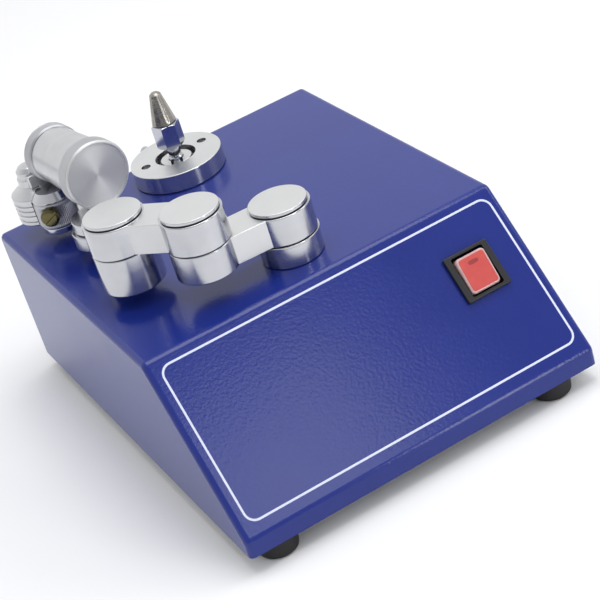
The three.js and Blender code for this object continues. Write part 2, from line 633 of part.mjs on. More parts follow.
const post = softRod(EYE_R, TOP + GAP, TOP + POST_H, 0.4, ...shoulder)
  .add(softRod(POST_RIM_R, TOP + POST_H - POST_RIM_H, TOP + POST_H, 0.3, ...shoulder, 36))
  .subtract(bore(shoulder, PIN_R + FIT, TOP - 5, TOP + 50));
part(machine, 'arm_post', post, satinAluminium);
const shoulderPin = rod(PIN_R, TOP - 9, lowerTo + CAP_GROOVE - GAP, ...shoulder, 24)
  .add(softRod(7, TOP - WALL - GAP - 5.5, TOP - WALL - GAP, 0.5, ...shoulder, 6));
part(machine, 'shoulder_pin', shoulderPin, chrome);

const blind = 2.4; // floor left under a blind bore
const lowerLink = eye(shoulder, lowerFrom, lowerTo)
  .add(eye(elbow, lowerFrom, lowerTo))
  .add(bar(shoulder, elbow, BAR_W, lowerFrom + 0.1, lowerTo - 0.1))
  .subtract(bore(shoulder, BUSH_R + FIT, lowerFrom - 5, lowerTo + 5))
  .subtract(bore(elbow, PIN_R + FIT, lowerFrom + blind, lowerTo + 5));
part(machine, 'lower_link', lowerLink, satinAluminium);
const upperLink = eye(elbow, upperFrom, upperTo)
  .add(eye(wrist, upperFrom, upperTo))
  .add(bar(elbow, wrist, BAR_W, upperFrom + 0.1, upperTo - 0.1))
  .subtract(bore(elbow, BUSH_R + FIT, upperFrom - 5, upperTo + 5))
  .subtract(bore(wrist, PIN_R + FIT, upperFrom - 5, upperTo + 5));
part(machine, 'upper_link', upperLink, satinAluminium);
const wristBarTo = wristFrom + WRIST_BAR_H;
const wristLink = eye(wrist, wristFrom, wristTo)
  .add(eye(swivel, wristFrom, wristBarTo, WRIST_EYE_R))
  .add(bar(wrist, swivel, BAR_W, wristFrom + 0.1, wristBarTo - 0.1))
  .subtract(bore(wrist, BUSH_R + FIT, wristFrom + blind, wristTo + 5))
  .subtract(bore(swivel, PIN_R + FIT, wristFrom + blind, wristTo + 5));
part(machine, 'wrist_link', wristLink, satinAluminium);

const elbowPin = rod(PIN_R, lowerFrom + blind + GAP, upperTo + CAP_GROOVE - GAP, ...elbow, 24);
part(machine, 'elbow_pin', elbowPin, chrome);
const wristPin = rod(PIN_R, wristFrom + blind + GAP, upperTo + CAP_GROOVE - GAP, ...wrist, 24);
part(machine, 'wrist_pin', wristPin, chrome);

const bushes = {
  shoulder: [shoulder, lowerFrom + GAP, lowerTo - GAP],
  elbow: [elbow, upperFrom + GAP, upperTo - GAP],
  wrist: [wrist, wristFrom + blind + GAP, wristTo - GAP],
};
for (const [name, [place, z0, z1]] of Object.entries(bushes)) {
  part(machine, `${name}_bush`, ring(BUSH_R, PIN_R + FIT, z0, z1, ...place, 24), bronze);
}
const caps = { shoulder: [shoulder, lowerTo], elbow: [elbow, upperTo], wrist: [wrist, upperTo] };
for (const [name, [place, z]] of Object.entries(caps)) {
  const cap = softRod(CAP_R, z + CAP_GROOVE, z + CAP_GROOVE + CAP_T, 0.3, ...place, 32);
  part(machine, `${name}_cap`, cap, satinAluminium);
}

// ---- Guide head ----
const head = new THREE.Group();
head.position.set(swivel[0], swivel[1], 0);
head.rotation.z = HEAD_TURN * DEG;
machine.add(head);

const drumZ = TOP + DRUM_LIFT;
const knobBack = KNOB_FACE + KNOB_T;
const drumFront = knobBack + PLAY;
const drumBack = drumFront + DRUM_L;
const discFront = drumBack + PLAY;
const discBack = discFront + DISC_T;
const chuckY = discBack + CHUCK_FROM_DISC;
const blockY = chuckY + BLOCK_BEHIND;
const pedestalFrom = wristBarTo + PLAY;
const drumBore = TILT_SHAFT_R + FIT;

function drumShape(extra) {
  return alongY(turned([
    [0, drumFront - extra], [DRUM_R_FRONT + extra, drumFront - extra], [DRUM_R_BACK + extra, drumBack + extra],
    [0, drumBack + extra],
  ], 0, 0, 32), DRUM_X, drumZ);
}

const swivelPinTop = pedestalFrom + 9;
const neckY = drumFront + 11;
const pedestal = softRod(PEDESTAL_R, pedestalFrom, pedestalFrom + 6, 0.5)
  .add(rod(PEDESTAL_NECK_R, pedestalFrom + 1, drumZ, DRUM_X, neckY, 32))
  .subtract(drumShape(GAP))
  .subtract(bore([0, 0], PIN_R + FIT, pedestalFrom - 5, swivelPinTop + GAP));
part(head, 'head_pedestal', pedestal, satinAluminium);
const swivelPin = rod(PIN_R, wristFrom + blind + GAP, swivelPinTop, 0, 0, 24);
part(head, 'swivel_pin', swivelPin, chrome);

const drum = drumShape(0).subtract(alongY(rod(drumBore, drumFront - 5, drumBack + 5, 0, 0, 24), DRUM_X, drumZ));
part(head, 'drum_sleeve', drum, turnedAluminium);

const knobBore = 6;
const plateBack = discBack + GAP + TAIL_DEEP;
const tiltShaft = rod(TILT_SHAFT_R, knobBack - knobBore + GAP, plateBack, 0, 0, 24)
  .subtract(rod(CARRIER_SCREW_R + FIT, plateBack - 6 - GAP, plateBack + 5, 0, 0, 20));
part(head, 'tilt_shaft', alongY(tiltShaft, DRUM_X, drumZ), chrome);
const knob = turned([
  [0, KNOB_FACE + 0.5], [KNOB_R - 1.6, KNOB_FACE + 0.5], [KNOB_R - 1.3, KNOB_FACE],
  [KNOB_R - 0.4, KNOB_FACE], [KNOB_R, KNOB_FACE + 0.4], [KNOB_R, knobBack - 0.4], [KNOB_R - 0.4, knobBack],
  [0, knobBack],
], 0, 0, 32).subtract(rod(drumBore, knobBack - knobBore, knobBack + 5, 0, 0, 24));
part(head, 'tilt_knob', alongY(knob, DRUM_X, drumZ), turnedAluminium);
const disc = softRod(DISC_R, discFront, discBack, 0.6, 0, 0, 32)
  .subtract(rod(drumBore, discFront - 5, discBack + 5, 0, 0, 24));
part(head, 'index_disc', alongY(disc, DRUM_X, drumZ), turnedAluminium);

// Carrier: plate behind the disc, neck, round block, and the boss that holds the chuck.
const noseFrom = TOP + NOSE_LIFT;
const sleeveFrom = noseFrom + NOSE_H + GAP;
const sleeveTo = sleeveFrom + CHUCK_H;
const bossFrom = sleeveTo + PLAY;
const bossTo = drumZ - DISC_R - GAP;
const plateFrom = discBack + GAP;
const collarZ = bossTo + 1;
const neckTop = drumZ - 4;
const carrierPlate = alongY(rod(12, plateFrom, plateBack - GAP, 0, 0, 32), DRUM_X, drumZ);
const carrierBlock = turned([
  [0, noseFrom + 4], [BLOCK_R - 0.6, noseFrom + 4], [BLOCK_R, noseFrom + 4.6], [BLOCK_R, bossFrom + 1],
  [7.6, collarZ], [7.6, collarZ + 4], [6.8, collarZ + 4.4], [6.8, neckTop - 3], [5, neckTop - 0.8],
  [2, neckTop], [0, neckTop],
], BLOCK_X, blockY);
const boss = turned([
  [0, bossFrom], [CHUCK_R, bossFrom], [CHUCK_R, bossFrom + 0.8], [BOSS_TOP_R, bossTo], [0, bossTo],
], CHUCK_X, chuckY);
const carrier = carrierBlock
  .add(boss)
  .add(block([BLOCK_X, plateFrom, bossTo - 1], [DRUM_X + 6, plateBack - GAP, drumZ]))
  .add(block([BLOCK_X - 5, plateFrom, collarZ], [BLOCK_X + 5, blockY, neckTop - 4]))
  .add(carrierPlate)
  .subtract(rod(CHUCK_R + PLAY, TOP, bossFrom, CHUCK_X, chuckY))
  .subtract(rod(SPIGOT_TOP_R + FIT, TOP, bossTo - BOSS_ROOF, CHUCK_X, chuckY, 32))
  .subtract(alongY(rod(drumBore, discFront, plateBack + 5, 0, 0, 24), DRUM_X, drumZ));
part(head, 'chuck_carrier', carrier, turnedAluminium);
const endScrew = rod(CARRIER_SCREW_R, plateBack - 6, plateBack + GAP + 1, 0, 0, 20)
  .add(softRod(6.5, plateBack + GAP, plateBack + GAP + 2.6, 0.5, 0, 0, 6));
part(head, 'carrier_screw', alongY(endScrew, DRUM_X, drumZ), zincSteel);

// Chuck: knurled sleeve that turns in the boss, nose ring and brass clamp screw.
const clampZ = sleeveFrom + CLAMP_LIFT;
const clampAxis = (solid) => alongY(solid, 0, clampZ).rotate([0, 0, CLAMP_ANGLE - 90])
  .translate([CHUCK_X, chuckY, 0]);
const spigotTop = bossTo - BOSS_ROOF - PLAY;
const sleeve = turned([
  [0, sleeveFrom], [CHUCK_R - 0.5, sleeveFrom], [CHUCK_R, sleeveFrom + 0.5], [CHUCK_R, sleeveTo - 0.5],
  [CHUCK_R - 0.5, sleeveTo], [SPIGOT_TOP_R, sleeveTo], [SPIGOT_TOP_R, spigotTop], [0, spigotTop],
], CHUCK_X, chuckY, 32)
  .subtract(rod(CHUCK_BORE_R, TOP, spigotTop - 1.5, CHUCK_X, chuckY, 24))
  .subtract(clampAxis(rod(CLAMP_SCREW_R + FIT, 2, 20, 0, 0, 20)));
part(head, 'chuck_sleeve', sleeve, turnedAluminium);
const nose = softRod(NOSE_R, noseFrom, noseFrom + NOSE_H, 0.4, CHUCK_X, chuckY, 32)
  .subtract(rod(CHUCK_BORE_R, TOP, TOP + 20, CHUCK_X, chuckY, 24));
part(head, 'nose_ring', nose, chrome);
const clampHead = softRod(CLAMP_R, CHUCK_R + PLAY, CHUCK_R + 5, 0.7, 0, 0, 28)
  .subtract(block([-6, -0.6, CHUCK_R + 3.8], [6, 0.6, CHUCK_R + 6]));
const clampScrew = rod(CLAMP_SCREW_R, CHUCK_BORE_R + 0.2, CHUCK_R + 1, 0, 0, 20).add(clampHead);
part(head, 'clamp_screw', clampAxis(clampScrew), brass);

const sharpener = new THREE.Group();
sharpener.add(machine);
export default sharpener;
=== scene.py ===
import json
import math

import bmesh
import bpy
import numpy as np
from mathutils import Matrix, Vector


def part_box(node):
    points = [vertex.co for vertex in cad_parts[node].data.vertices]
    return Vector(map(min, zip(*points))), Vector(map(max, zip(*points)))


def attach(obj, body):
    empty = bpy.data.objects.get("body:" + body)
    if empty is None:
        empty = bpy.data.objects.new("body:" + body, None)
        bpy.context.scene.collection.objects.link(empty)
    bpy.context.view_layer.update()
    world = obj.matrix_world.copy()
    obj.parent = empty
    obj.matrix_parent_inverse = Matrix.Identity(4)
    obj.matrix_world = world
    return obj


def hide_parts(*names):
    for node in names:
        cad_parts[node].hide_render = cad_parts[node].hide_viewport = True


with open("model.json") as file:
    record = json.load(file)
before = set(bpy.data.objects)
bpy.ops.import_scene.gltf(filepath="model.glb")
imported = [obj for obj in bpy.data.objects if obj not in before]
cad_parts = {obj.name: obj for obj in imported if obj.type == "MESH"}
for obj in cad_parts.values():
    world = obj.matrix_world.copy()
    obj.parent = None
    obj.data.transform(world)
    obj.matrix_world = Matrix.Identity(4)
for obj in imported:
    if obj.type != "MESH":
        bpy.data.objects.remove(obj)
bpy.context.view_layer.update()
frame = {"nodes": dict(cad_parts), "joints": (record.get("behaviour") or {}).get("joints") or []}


# ---------------------------------------------------------------------------------------------
# Studio. A seamless pale sweep, a bright overcast dome and four soft lights, as small products
# are shot. The camera stands to the left of the machine's front and looks down, a little rolled.
# ---------------------------------------------------------------------------------------------
MM = 0.001
UP = np.array([0.0, 0.0, 1.0])
AZIMUTH, ELEVATION, ROLL = (math.radians(a) for a in (-20.08, 29.61, 17.56))
CAMERA_PLACE = np.array([-280.8, -797.1, 521.8]) * MM
LENS = 110.5
SENSOR = 36.0


def direction(azimuth, elevation):
    """Unit vector towards a place at that azimuth, counted from -Y towards +X, and elevation."""
    flat = math.cos(elevation)
    return np.array([math.sin(azimuth) * flat, -math.cos(azimuth) * flat, math.sin(elevation)])


def as_matrix(columns, place):
    """A 4 x 4 matrix whose columns are three axes and a place."""
    matrix = np.eye(4)
    matrix[:3, :3] = np.column_stack(columns)
    matrix[:3, 3] = place
    return Matrix(matrix.tolist())


back = direction(AZIMUTH, ELEVATION)
level = np.cross(-back, UP)
level /= np.linalg.norm(level)
upright = np.cross(level, -back)
cam_up = upright * math.cos(ROLL) + level * math.sin(ROLL)
cam_right = np.cross(-back, cam_up)
camera = bpy.data.objects.new("camera", bpy.data.cameras.new("camera"))
camera.data.lens = LENS
camera.data.sensor_width = SENSOR
camera.data.clip_start = 0.05
camera.data.clip_end = 20
camera.matrix_world = as_matrix((cam_right, cam_up, back), CAMERA_PLACE)
bpy.context.scene.collection.objects.link(camera)
bpy.context.scene.camera = camera
bpy.context.scene.view_settings.view_transform = "Standard"


def linear(hex_colour, alpha=1.0):
    """sRGB hex to linear red, green, blue and alpha."""
    part = [int(hex_colour[i : i + 2], 16) / 255 for i in (1, 3, 5)]
    bent = [c / 12.92 if c <= 0.04045 else ((c + 0.055) / 1.055) ** 2.4 for c in part]
    return (*bent, alpha)


def add(tree, kind, inputs=(), **settings):
    """Adds one node: settings are its own properties, and inputs gives a socket, by name or
    number, a value or another node's output."""
    node = tree.nodes.new("ShaderNode" + kind)
    for key, value in settings.items():
        setattr(node, key, value)
    for key, value in dict(inputs).items():
        if isinstance(value, bpy.types.NodeSocket):
            tree.links.new(value, node.inputs[key])
        else:
            node.inputs[key].default_value = value
    return node


def material(name, constants):
    """A material with one Principled shader that has these constants."""
    made = bpy.data.materials.new(name)
    made.use_nodes = True
    made.node_tree.nodes.clear()
    shader = add(made.node_tree, "BsdfPrincipled", constants)
    add(made.node_tree, "OutputMaterial", {"Surface": shader.outputs["BSDF"]})
    return made, made.node_tree, shader


def mottled(name, constants, colours, scale, detail, depth=0.0, strength=0.5):
    """A material whose colour wanders between two tones with a noise of that scale. With a depth,
    the same noise also raises the surface."""
    made, tree, shader = material(name, constants)
    place = add(tree, "TexCoord")
    cloud = add(tree, "TexNoise", {"Vector": place.outputs["Object"], "Scale": scale, "Detail": detail})
    first, second = (linear(colour) for colour in colours)
    tone = add(tree, "MixRGB", {"Fac": cloud.outputs["Fac"], "Color1": first, "Color2": second})
    tree.links.new(tone.outputs["Color"], shader.inputs["Base Color"])
    if depth:
        relief = add(tree, "Bump", {"Height": cloud.outputs["Fac"], "Distance": depth, "Strength": strength})
        tree.links.new(relief.outputs["Normal"], shader.inputs["Normal"])
    return made


def mesh_piece(name, points, faces):
    """A piece from rows of points and lists of corners, placed by its points."""
    mesh = bpy.data.meshes.new(name)
    mesh.from_pydata(np.asarray(points).reshape(-1, 3).tolist(), [], faces)
    piece = bpy.data.objects.new(name, mesh)
    bpy.context.scene.collection.objects.link(piece)
    return piece


# The sweep is matt white paper; a faint mottling keeps it from reading as a flat fill.
FLOOR_HALF = 4.0
corners = [(-1, -1), (1, -1), (1, 1), (-1, 1)]
floor = mesh_piece("floor", [(x * FLOOR_HALF, y * FLOOR_HALF, 0) for x, y in corners], [[0, 1, 2, 3]])
floor.data.materials.append(
    mottled("white_sweep_paper", {"Roughness": 0.9}, ("#f4f4f5", "#fafafa"), 3.0, 4.0))

# Dome: the white wall behind the machine is lit more than the room in front of it, so the top
# face and the turned metal show light from behind and darker tones from the front.
BACK_WALL, FRONT_ROOM = (1.08, 1.08, 1.08, 1), (0.5, 0.51, 0.54, 1)
world = bpy.data.worlds.new("studio_dome")
bpy.context.scene.world = world
world.use_nodes = True
sky = world.node_tree
sky.nodes.clear()
ray = add(sky, "TexCoord")
facing = add(sky, "SeparateXYZ", {"Vector": ray.outputs["Generated"]})
behind = add(sky, "MapRange", {"Value": facing.outputs["Y"], "From Min": -0.75, "From Max": 0.75})
wall = add(sky, "MixRGB", {"Fac": behind.outputs["Result"], "Color1": FRONT_ROOM, "Color2": BACK_WALL})
dome = add(sky, "Background", {"Color": wall.outputs["Color"], "Strength": 0.9})
add(sky, "OutputWorld", {"Surface": dome.outputs["Background"]})

TARGET = np.array([0.0, 0.0, 60.0]) * MM


def softbox(name, azimuth, elevation, distance, size, power):
    """A soft light that faces the machine from an azimuth and elevation in degrees, and a distance
    in metres. Its size is in metres too, and its power in watts."""
    light = bpy.data.objects.new(name, bpy.data.lights.new(name, "AREA"))
    light.data.shape = "RECTANGLE"
    light.data.size, light.data.size_y = size
    light.data.energy = power
    aim = direction(math.radians(azimuth), math.radians(elevation))
    side = np.cross(UP, aim)
    side /= np.linalg.norm(side)
    light.matrix_world = as_matrix((side, np.cross(aim, side), aim), TARGET + aim * distance)
    bpy.context.scene.collection.objects.link(light)


# One large softbox above, a smaller one on the right, a card that edges the front, and a softbox
# placed where the sloping panel mirrors it, which shows the gloss of the powder coat.
softbox("top_softbox", 100, 82, 1.5, (1.0, 1.0), 9.5)
softbox("right_softbox", 75, 40, 1.6, (0.6, 0.6), 3.5)
softbox("front_card", 22, 13, 1.2, (0.16, 0.5), 1.6)
softbox("slope_softbox", 15, 43, 1.24, (0.3, 0.28), 0.72)


# ---------------------------------------------------------------------------------------------
# Housing cover. 1.5 mm steel sheet, folded to a sloping front with a short upright lip, welded
# and ground at the side seams, then finished in gloss blue powder coat.
# ---------------------------------------------------------------------------------------------
WALL = 1.5 * MM
LIP = 9.2 * MM
SLOPE_RUN = 66.5 * MM
EDGE = 3.0 * MM
FOLD = 5.0 * MM
SUPPORT = 0.12 * MM
cover_low, cover_high = (np.array(corner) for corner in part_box("cover_shell"))
TOP = cover_high[2]
FRONT = cover_low[1]


def filleted(corners, steps=6, closed=False):
    """An outline through corners (x, y, radius). Each corner becomes an arc of its radius, and a
    point just outside the arc on either side keeps the flats flat in the shading."""
    spots = np.array([c[:2] for c in corners], float)
    made = []
    for i, (x, y, radius) in enumerate(corners):
        here = spots[i]
        if radius == 0 or (not closed and i in (0, len(corners) - 1)):
            made.append(here[None])
            continue
        a = spots[i - 1] - here
        b = spots[(i + 1) % len(spots)] - here
        reach_a, reach_b = np.linalg.norm(a), np.linalg.norm(b)
        a, b = a / reach_a, b / reach_b
        half = math.acos(np.clip(a @ b, -1, 1)) / 2
        tangent = radius / math.tan(half)
        centre = here + (a + b) / np.linalg.norm(a + b) * radius / math.sin(half)
        start = here + a * tangent - centre
        turn = np.sign(b[0] * a[1] - b[1] * a[0]) * (math.pi - 2 * half)
        angle = np.linspace(0, turn, steps + 1)[:, None]
        swing = np.array([-start[1], start[0]])
        arc = centre + start * np.cos(angle) + swing * np.sin(angle)
        if reach_a > 2.5 * (tangent + SUPPORT):
            arc = np.vstack([here + a * (tangent + SUPPORT), arc])
        if reach_b > 2.5 * (tangent + SUPPORT):
            arc = np.vstack([arc, here + b * (tangent + SUPPORT)])
        made.append(arc)
    return np.vstack(made)


def grid_faces(rows, columns, close_rows=False):
    """Corner lists of the quads of a grid that closes round its columns, rows by columns."""
    row = np.arange(rows if close_rows else rows - 1)[:, None]
    column = np.arange(columns)[None, :]
    after, beside = (row + 1) % rows, (column + 1) % columns
    here, there = row * columns, after * columns
    quads = [here + column, here + beside, there + beside, there + column]
    return np.stack(quads, -1).reshape(-1, 4).tolist()


def shade(piece, angle=32):
    """Smooth shading with edges sharper than the angle kept crisp."""
    piece.data.shade_smooth()
    piece.data.set_sharp_from_angle(angle=math.radians(angle))
    return piece


def slab(name, outline, low, high, edge, origin=(0, 0, 0), axes=((1, 0, 0), (0, 1, 0), (0, 0, 1)), steps=5):
    """A plate between two heights. outline(inset) gives its edge, moved in by inset; the rim's
    inset follows a quarter circle of radius edge at the bottom and at the top."""
    quarter = np.linspace(0, math.pi / 2, steps + 1)
    inset = edge * (1 - np.sin(quarter))
    rise = edge * (1 - np.cos(quarter))
    insets = np.concatenate([[edge + SUPPORT], inset, [0, 0], inset[::-1], [edge + SUPPORT]])
    shelf = edge + SUPPORT
    heights = np.concatenate([[low], low + rise, [low + shelf, high - shelf], high - rise[::-1], [high]])
    rings = [np.column_stack([outline(i), np.full(len(outline(i)), h)]) for i, h in zip(insets, heights)]
    points = np.array(rings)
    columns = points.shape[1]
    faces = grid_faces(len(rings), columns)
    faces.append(list(range(columns))[::-1])
    faces.append(list(range((len(rings) - 1) * columns, len(rings) * columns)))
    piece = mesh_piece(name, np.array(origin) + points.reshape(-1, 3) @ np.array(axes, float), faces)
    return shade(tidy(piece))


def tidy(piece):
    """Merges doubled points, drops faces without area and turns all faces outwards."""
    work = bmesh.new()
    work.from_mesh(piece.data)
    bmesh.ops.remove_doubles(work, verts=work.verts, dist=1e-7)
    bmesh.ops.dissolve_degenerate(work, edges=work.edges, dist=1e-8)
    bmesh.ops.recalc_face_normals(work, faces=work.faces)
    work.to_mesh(piece.data)
    work.free()
    return piece


def joined(piece, *tools, how="DIFFERENCE"):
    """Cuts the tools from the piece, or joins them to it, each with its own finish, and removes
    the tools."""
    for tool in tools:
        step = piece.modifiers.new("join", "BOOLEAN")
        step.operation = how
        step.solver = "EXACT"
        step.material_mode = "TRANSFER"
        step.object = tool
    bpy.context.view_layer.update()
    result = piece.evaluated_get(bpy.context.evaluated_depsgraph_get())
    mesh = bpy.data.meshes.new_from_object(result)
    piece.modifiers.clear()
    piece.data = mesh
    for tool in tools:
        bpy.data.objects.remove(tool)
    return shade(piece)


def painted(piece, finish):
    """The piece with one finish all over."""
    piece.data.materials.clear()
    piece.data.materials.append(finish)
    return piece


def fit(piece, body, finish, slot, *nodes):
    """The piece moves with a body and stands for CAD nodes. A finish covers it all over; without
    one, its parts keep their own."""
    if finish:
        painted(piece, finish)
    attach(piece, body)
    if nodes:
        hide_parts(*nodes)
    return piece


def side_outline(margin):
    """The cover's side outline, moved in by margin, with rounded folds; it runs on below."""
    height = TOP - cover_low[2]
    slope = math.atan2(height - LIP, SLOPE_RUN)
    below = -12 * MM
    depth = cover_high[1] - FRONT
    radius = FOLD - margin

    def outline(inset):
        """Corners: the sheet's foot in front and behind, then the two folds and the lip's fold."""
        i = margin + inset
        tip = LIP + i * math.tan(slope) - i / math.cos(slope)
        knee = SLOPE_RUN + i / math.sin(slope) - i / math.tan(slope)
        round_to = max(radius - inset, 0.02 * MM)
        return filleted(
            [
                (i, below, 0),
                (depth - i, below, 0),
                (depth - i, height - i, round_to),
                (knee, height - i, round_to),
                (i, tip, round_to),
            ],
            closed=True,
        )

    return outline


SIDEWAYS = ((0, 1, 0), (0, 0, 1), (1, 0, 0))
cover_origin = (0, FRONT, cover_low[2])
half_width = cover_high[0]
rim = EDGE - 0.1 * MM
cover = slab("housing_cover", side_outline(0), -half_width, half_width, rim, cover_origin, SIDEWAYS)
inner_half = half_width - WALL
inside = slab("inside", side_outline(WALL), -inner_half, inner_half, 0.4 * MM, cover_origin, SIDEWAYS)


def rectangle(half_x, half_y, radius, steps=5):
    """Outline of a rounded rectangle about the origin, as a function of inset."""

    def outline(inset):
        """Four corners and four arcs, all moved in by inset."""
        x, y = half_x - inset, half_y - inset
        r = max(radius - inset, 0.01 * MM)
        return filleted([(-x, -y, r), (x, -y, r), (x, y, r), (-x, y, r)], steps, closed=True)

    return outline


def circle(radius, sides=64):
    """Outline of a circle about the origin, as a function of inset."""

    def outline(inset):
        """Points evenly round the circle, whose radius shrinks by inset."""
        turn = np.linspace(0, 2 * math.pi, sides, endpoint=False)
        return (radius - inset) * np.column_stack([np.cos(turn), np.sin(turn)])

    return outline


def drill(radius, place, axis, length, sides=64):
    """A plain round cutter centred on place."""
    axis = np.array(axis, float)
    side = np.cross(axis, UP if abs(axis[2]) < 0.9 else np.array([1.0, 0, 0]))
    side /= np.linalg.norm(side)
    axes = (side, np.cross(axis, side), axis)
    return slab("drill", circle(radius, sides), -length / 2, length / 2, 0.01 * MM, place, axes, 1)


def cutter(half_x, half_y, radius, place, axes, depth):
    """A plain rounded-rectangle cutter centred on place."""
    return slab("cutter", rectangle(half_x, half_y, radius), -depth / 2, depth / 2, 0.01 * MM, place, axes, 1)


# A block takes away what the side outline leaves below the cover's edge, so the cover is open.
FLAT_AXES = ((1, 0, 0), (0, 1, 0), (0, 0, 1))
below = (0, 0, cover_low[2] - 20 * MM)
below_edge = cutter(200 * MM, 300 * MM, 1 * MM, below, FLAT_AXES, 40 * MM)
joint = {row["name"]: row for row in frame["joints"]}
spindle_place = np.array(joint["spindle_spin"]["pos_m"])
post_place = np.array(joint["shoulder"]["pos_m"])
switch_place = np.array(joint["switch_rock"]["pos_m"])
slope_angle = math.atan2(TOP - cover_low[2] - LIP, SLOPE_RUN)
SLOPE_AXES = (
    (1, 0, 0),
    (0, math.cos(slope_angle), math.sin(slope_angle)),
    (0, -math.sin(slope_angle), math.cos(slope_angle)),
)
THROUGH = 12 * MM
spindle_hole = drill(14.6 * MM, (spindle_place[0], spindle_place[1], TOP), UP, THROUGH)
post_hole = drill(4.3 * MM, (post_place[0], post_place[1], TOP), UP, THROUGH, 32)
switch_hole = cutter(11.1 * MM, 11.1 * MM, 0.5 * MM, switch_place, SLOPE_AXES, THROUGH)
inlet_low, inlet_high = (np.array(corner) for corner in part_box("inlet_body"))
inlet_middle = (inlet_low + inlet_high) / 2
BACKWARDS = ((-1, 0, 0), (0, 0, 1), (0, 1, 0))
back_wall = cover_high[1]
inlet_hole = cutter(
    13.8 * MM, 10.3 * MM, 1 * MM, (inlet_middle[0], back_wall, inlet_middle[2]), BACKWARDS, THROUGH)
SLOT_FROM, SLOT_PITCH, SLOT_UP = 42 * MM, 7 * MM, 37 * MM
slot_places = [(SLOT_FROM + SLOT_PITCH * i, back_wall, cover_low[2] + SLOT_UP) for i in range(6)]
cooling_slots = [cutter(1.5 * MM, 15 * MM, 1.45 * MM, place, BACKWARDS, THROUGH) for place in slot_places]
cover = joined(cover, inside, below_edge, spindle_hole, post_hole, switch_hole, inlet_hole, *cooling_slots)

# Gloss polyester powder coat: a clear, hard skin over deep blue that shows soft reflections,
# broken up by orange peel with waves about 1.5 mm apart.
PEEL = 1.5 * MM
coat, tree, shader = material("blue_gloss_powder_coat", {"IOR": 1.45})
place = add(tree, "TexCoord")
here = place.outputs["Object"]
peel = add(tree, "TexNoise", {"Vector": here, "Scale": 1 / PEEL, "Detail": 2.0, "Roughness": 0.4})
cloud = add(tree, "TexNoise", {"Vector": here, "Scale": 22.0, "Detail": 3.0})
amount = cloud.outputs["Fac"]
blue = add(tree, "MixRGB", {"Fac": amount, "Color1": linear("#19297a"), "Color2": linear("#203187")})
wave = add(tree, "Bump", {"Height": peel.outputs["Fac"], "Distance": 0.065 * MM, "Strength": 1.0})
gloss = add(tree, "MapRange", {"Value": amount, "To Min": 0.13, "To Max": 0.21})
tree.links.new(blue.outputs["Color"], shader.inputs["Base Color"])
tree.links.new(gloss.outputs["Result"], shader.inputs["Roughness"])
tree.links.new(wave.outputs["Normal"], shader.inputs["Normal"])
fit(cover, "base", coat, "powder_coat", "cover_shell")

# Border line: white ink, screen printed round the sloping panel, about 1 mm wide.
LINE = 0.55 * MM
INK = 0.05 * MM
line_low, line_high = 7.5 * MM, 92.1 * MM
line_left, line_right = 6.6 * MM, 5.3 * MM
line_middle = (line_low + line_high) / 2
slope_foot = np.array([0, FRONT, cover_low[2] + LIP])
line_origin = slope_foot + np.array(SLOPE_AXES[1]) * line_middle
line_origin[0] += (line_left - line_right) / 2
line_half_x = half_width - (line_left + line_right) / 2 + LINE
frame_outline = rectangle(line_half_x, (line_high - line_low) / 2 + LINE, 6 * MM, 10)
edges = [(0, 0), (0, INK), (2 * LINE, INK), (2 * LINE, 0)]
rings = np.array([np.column_stack([frame_outline(i), np.full(len(frame_outline(i)), h)]) for i, h in edges])
line_points = line_origin + rings.reshape(-1, 3) @ np.array(SLOPE_AXES)
border = tidy(mesh_piece("border_line", line_points, grid_faces(4, rings.shape[1], True)))
ink = mottled(
    "white_screen_ink", {"Roughness": 0.38, "IOR": 1.48}, ("#c9d0ee", "#eef1ff"), 1 / (0.8 * MM), 2.0)
fit(border, "base", ink, "powder_coat")


def finish_node(names, finish):
    """Gives CAD nodes that stay a finish through their material slots."""
    for name in names:
        node = frame["nodes"][name]
        node.data.materials.clear()
        node.data.materials.append(finish)


# ---------------------------------------------------------------------------------------------
# Base plate, motor bracket and common screws. Pressed steel with bright zinc plating, whose
# passivation leaves a faint blue-yellow cloudiness.
# ---------------------------------------------------------------------------------------------
zinc, tree, shader = material("bright_zinc_plate", {"Metallic": 1.0, "Roughness": 0.35})
place = add(tree, "TexCoord")
cloud = add(tree, "TexNoise", {"Vector": place.outputs["Object"], "Scale": 60.0, "Detail": 5.0})
tint = add(tree, "ValToRGB", {"Fac": cloud.outputs["Fac"]})
tint.color_ramp.elements[0].color = linear("#a9aebb")
tint.color_ramp.elements[0].position = 0.3
tint.color_ramp.elements[1].color = linear("#bdb9a6")
tint.color_ramp.elements[1].position = 0.75
dull = add(tree, "MapRange", {"Value": cloud.outputs["Fac"], "To Min": 0.26, "To Max": 0.44})
tree.links.new(tint.outputs["Color"], shader.inputs["Base Color"])
tree.links.new(dull.outputs["Result"], shader.inputs["Roughness"])
PLACES = ("front_left", "front_right", "back_left", "back_right")
finish_node(["base_plate", "motor_bracket", "carrier_screw", "inlet_screw_1", "inlet_screw_2"], zinc)
finish_node(["inlet_blade_line", "inlet_blade_neutral", "inlet_blade_earth", "motor_rotor"], zinc)
finish_node([f"foot_screw_{name}" for name in PLACES], zinc)
finish_node(["flange_screw_1", "flange_screw_2"], zinc)


# ---------------------------------------------------------------------------------------------
# Feet. Four moulded rubber bumpers with a rounded tread edge and a counterbore for the screw.
# ---------------------------------------------------------------------------------------------
def coords(node):
    """A CAD node's points as rows of x, y, z."""
    mesh = frame["nodes"][node].data
    flat = np.empty(len(mesh.vertices) * 3, np.float32)
    mesh.vertices.foreach_get("co", flat)
    return flat.reshape(-1, 3).astype(float)


def reach(node, pivot, axis):
    """Lowest and highest point of a node along an axis, and its largest distance from it."""
    away = coords(node) - pivot
    along = away @ axis
    return along.min(), along.max(), np.linalg.norm(away - np.outer(along, axis), axis=1).max()


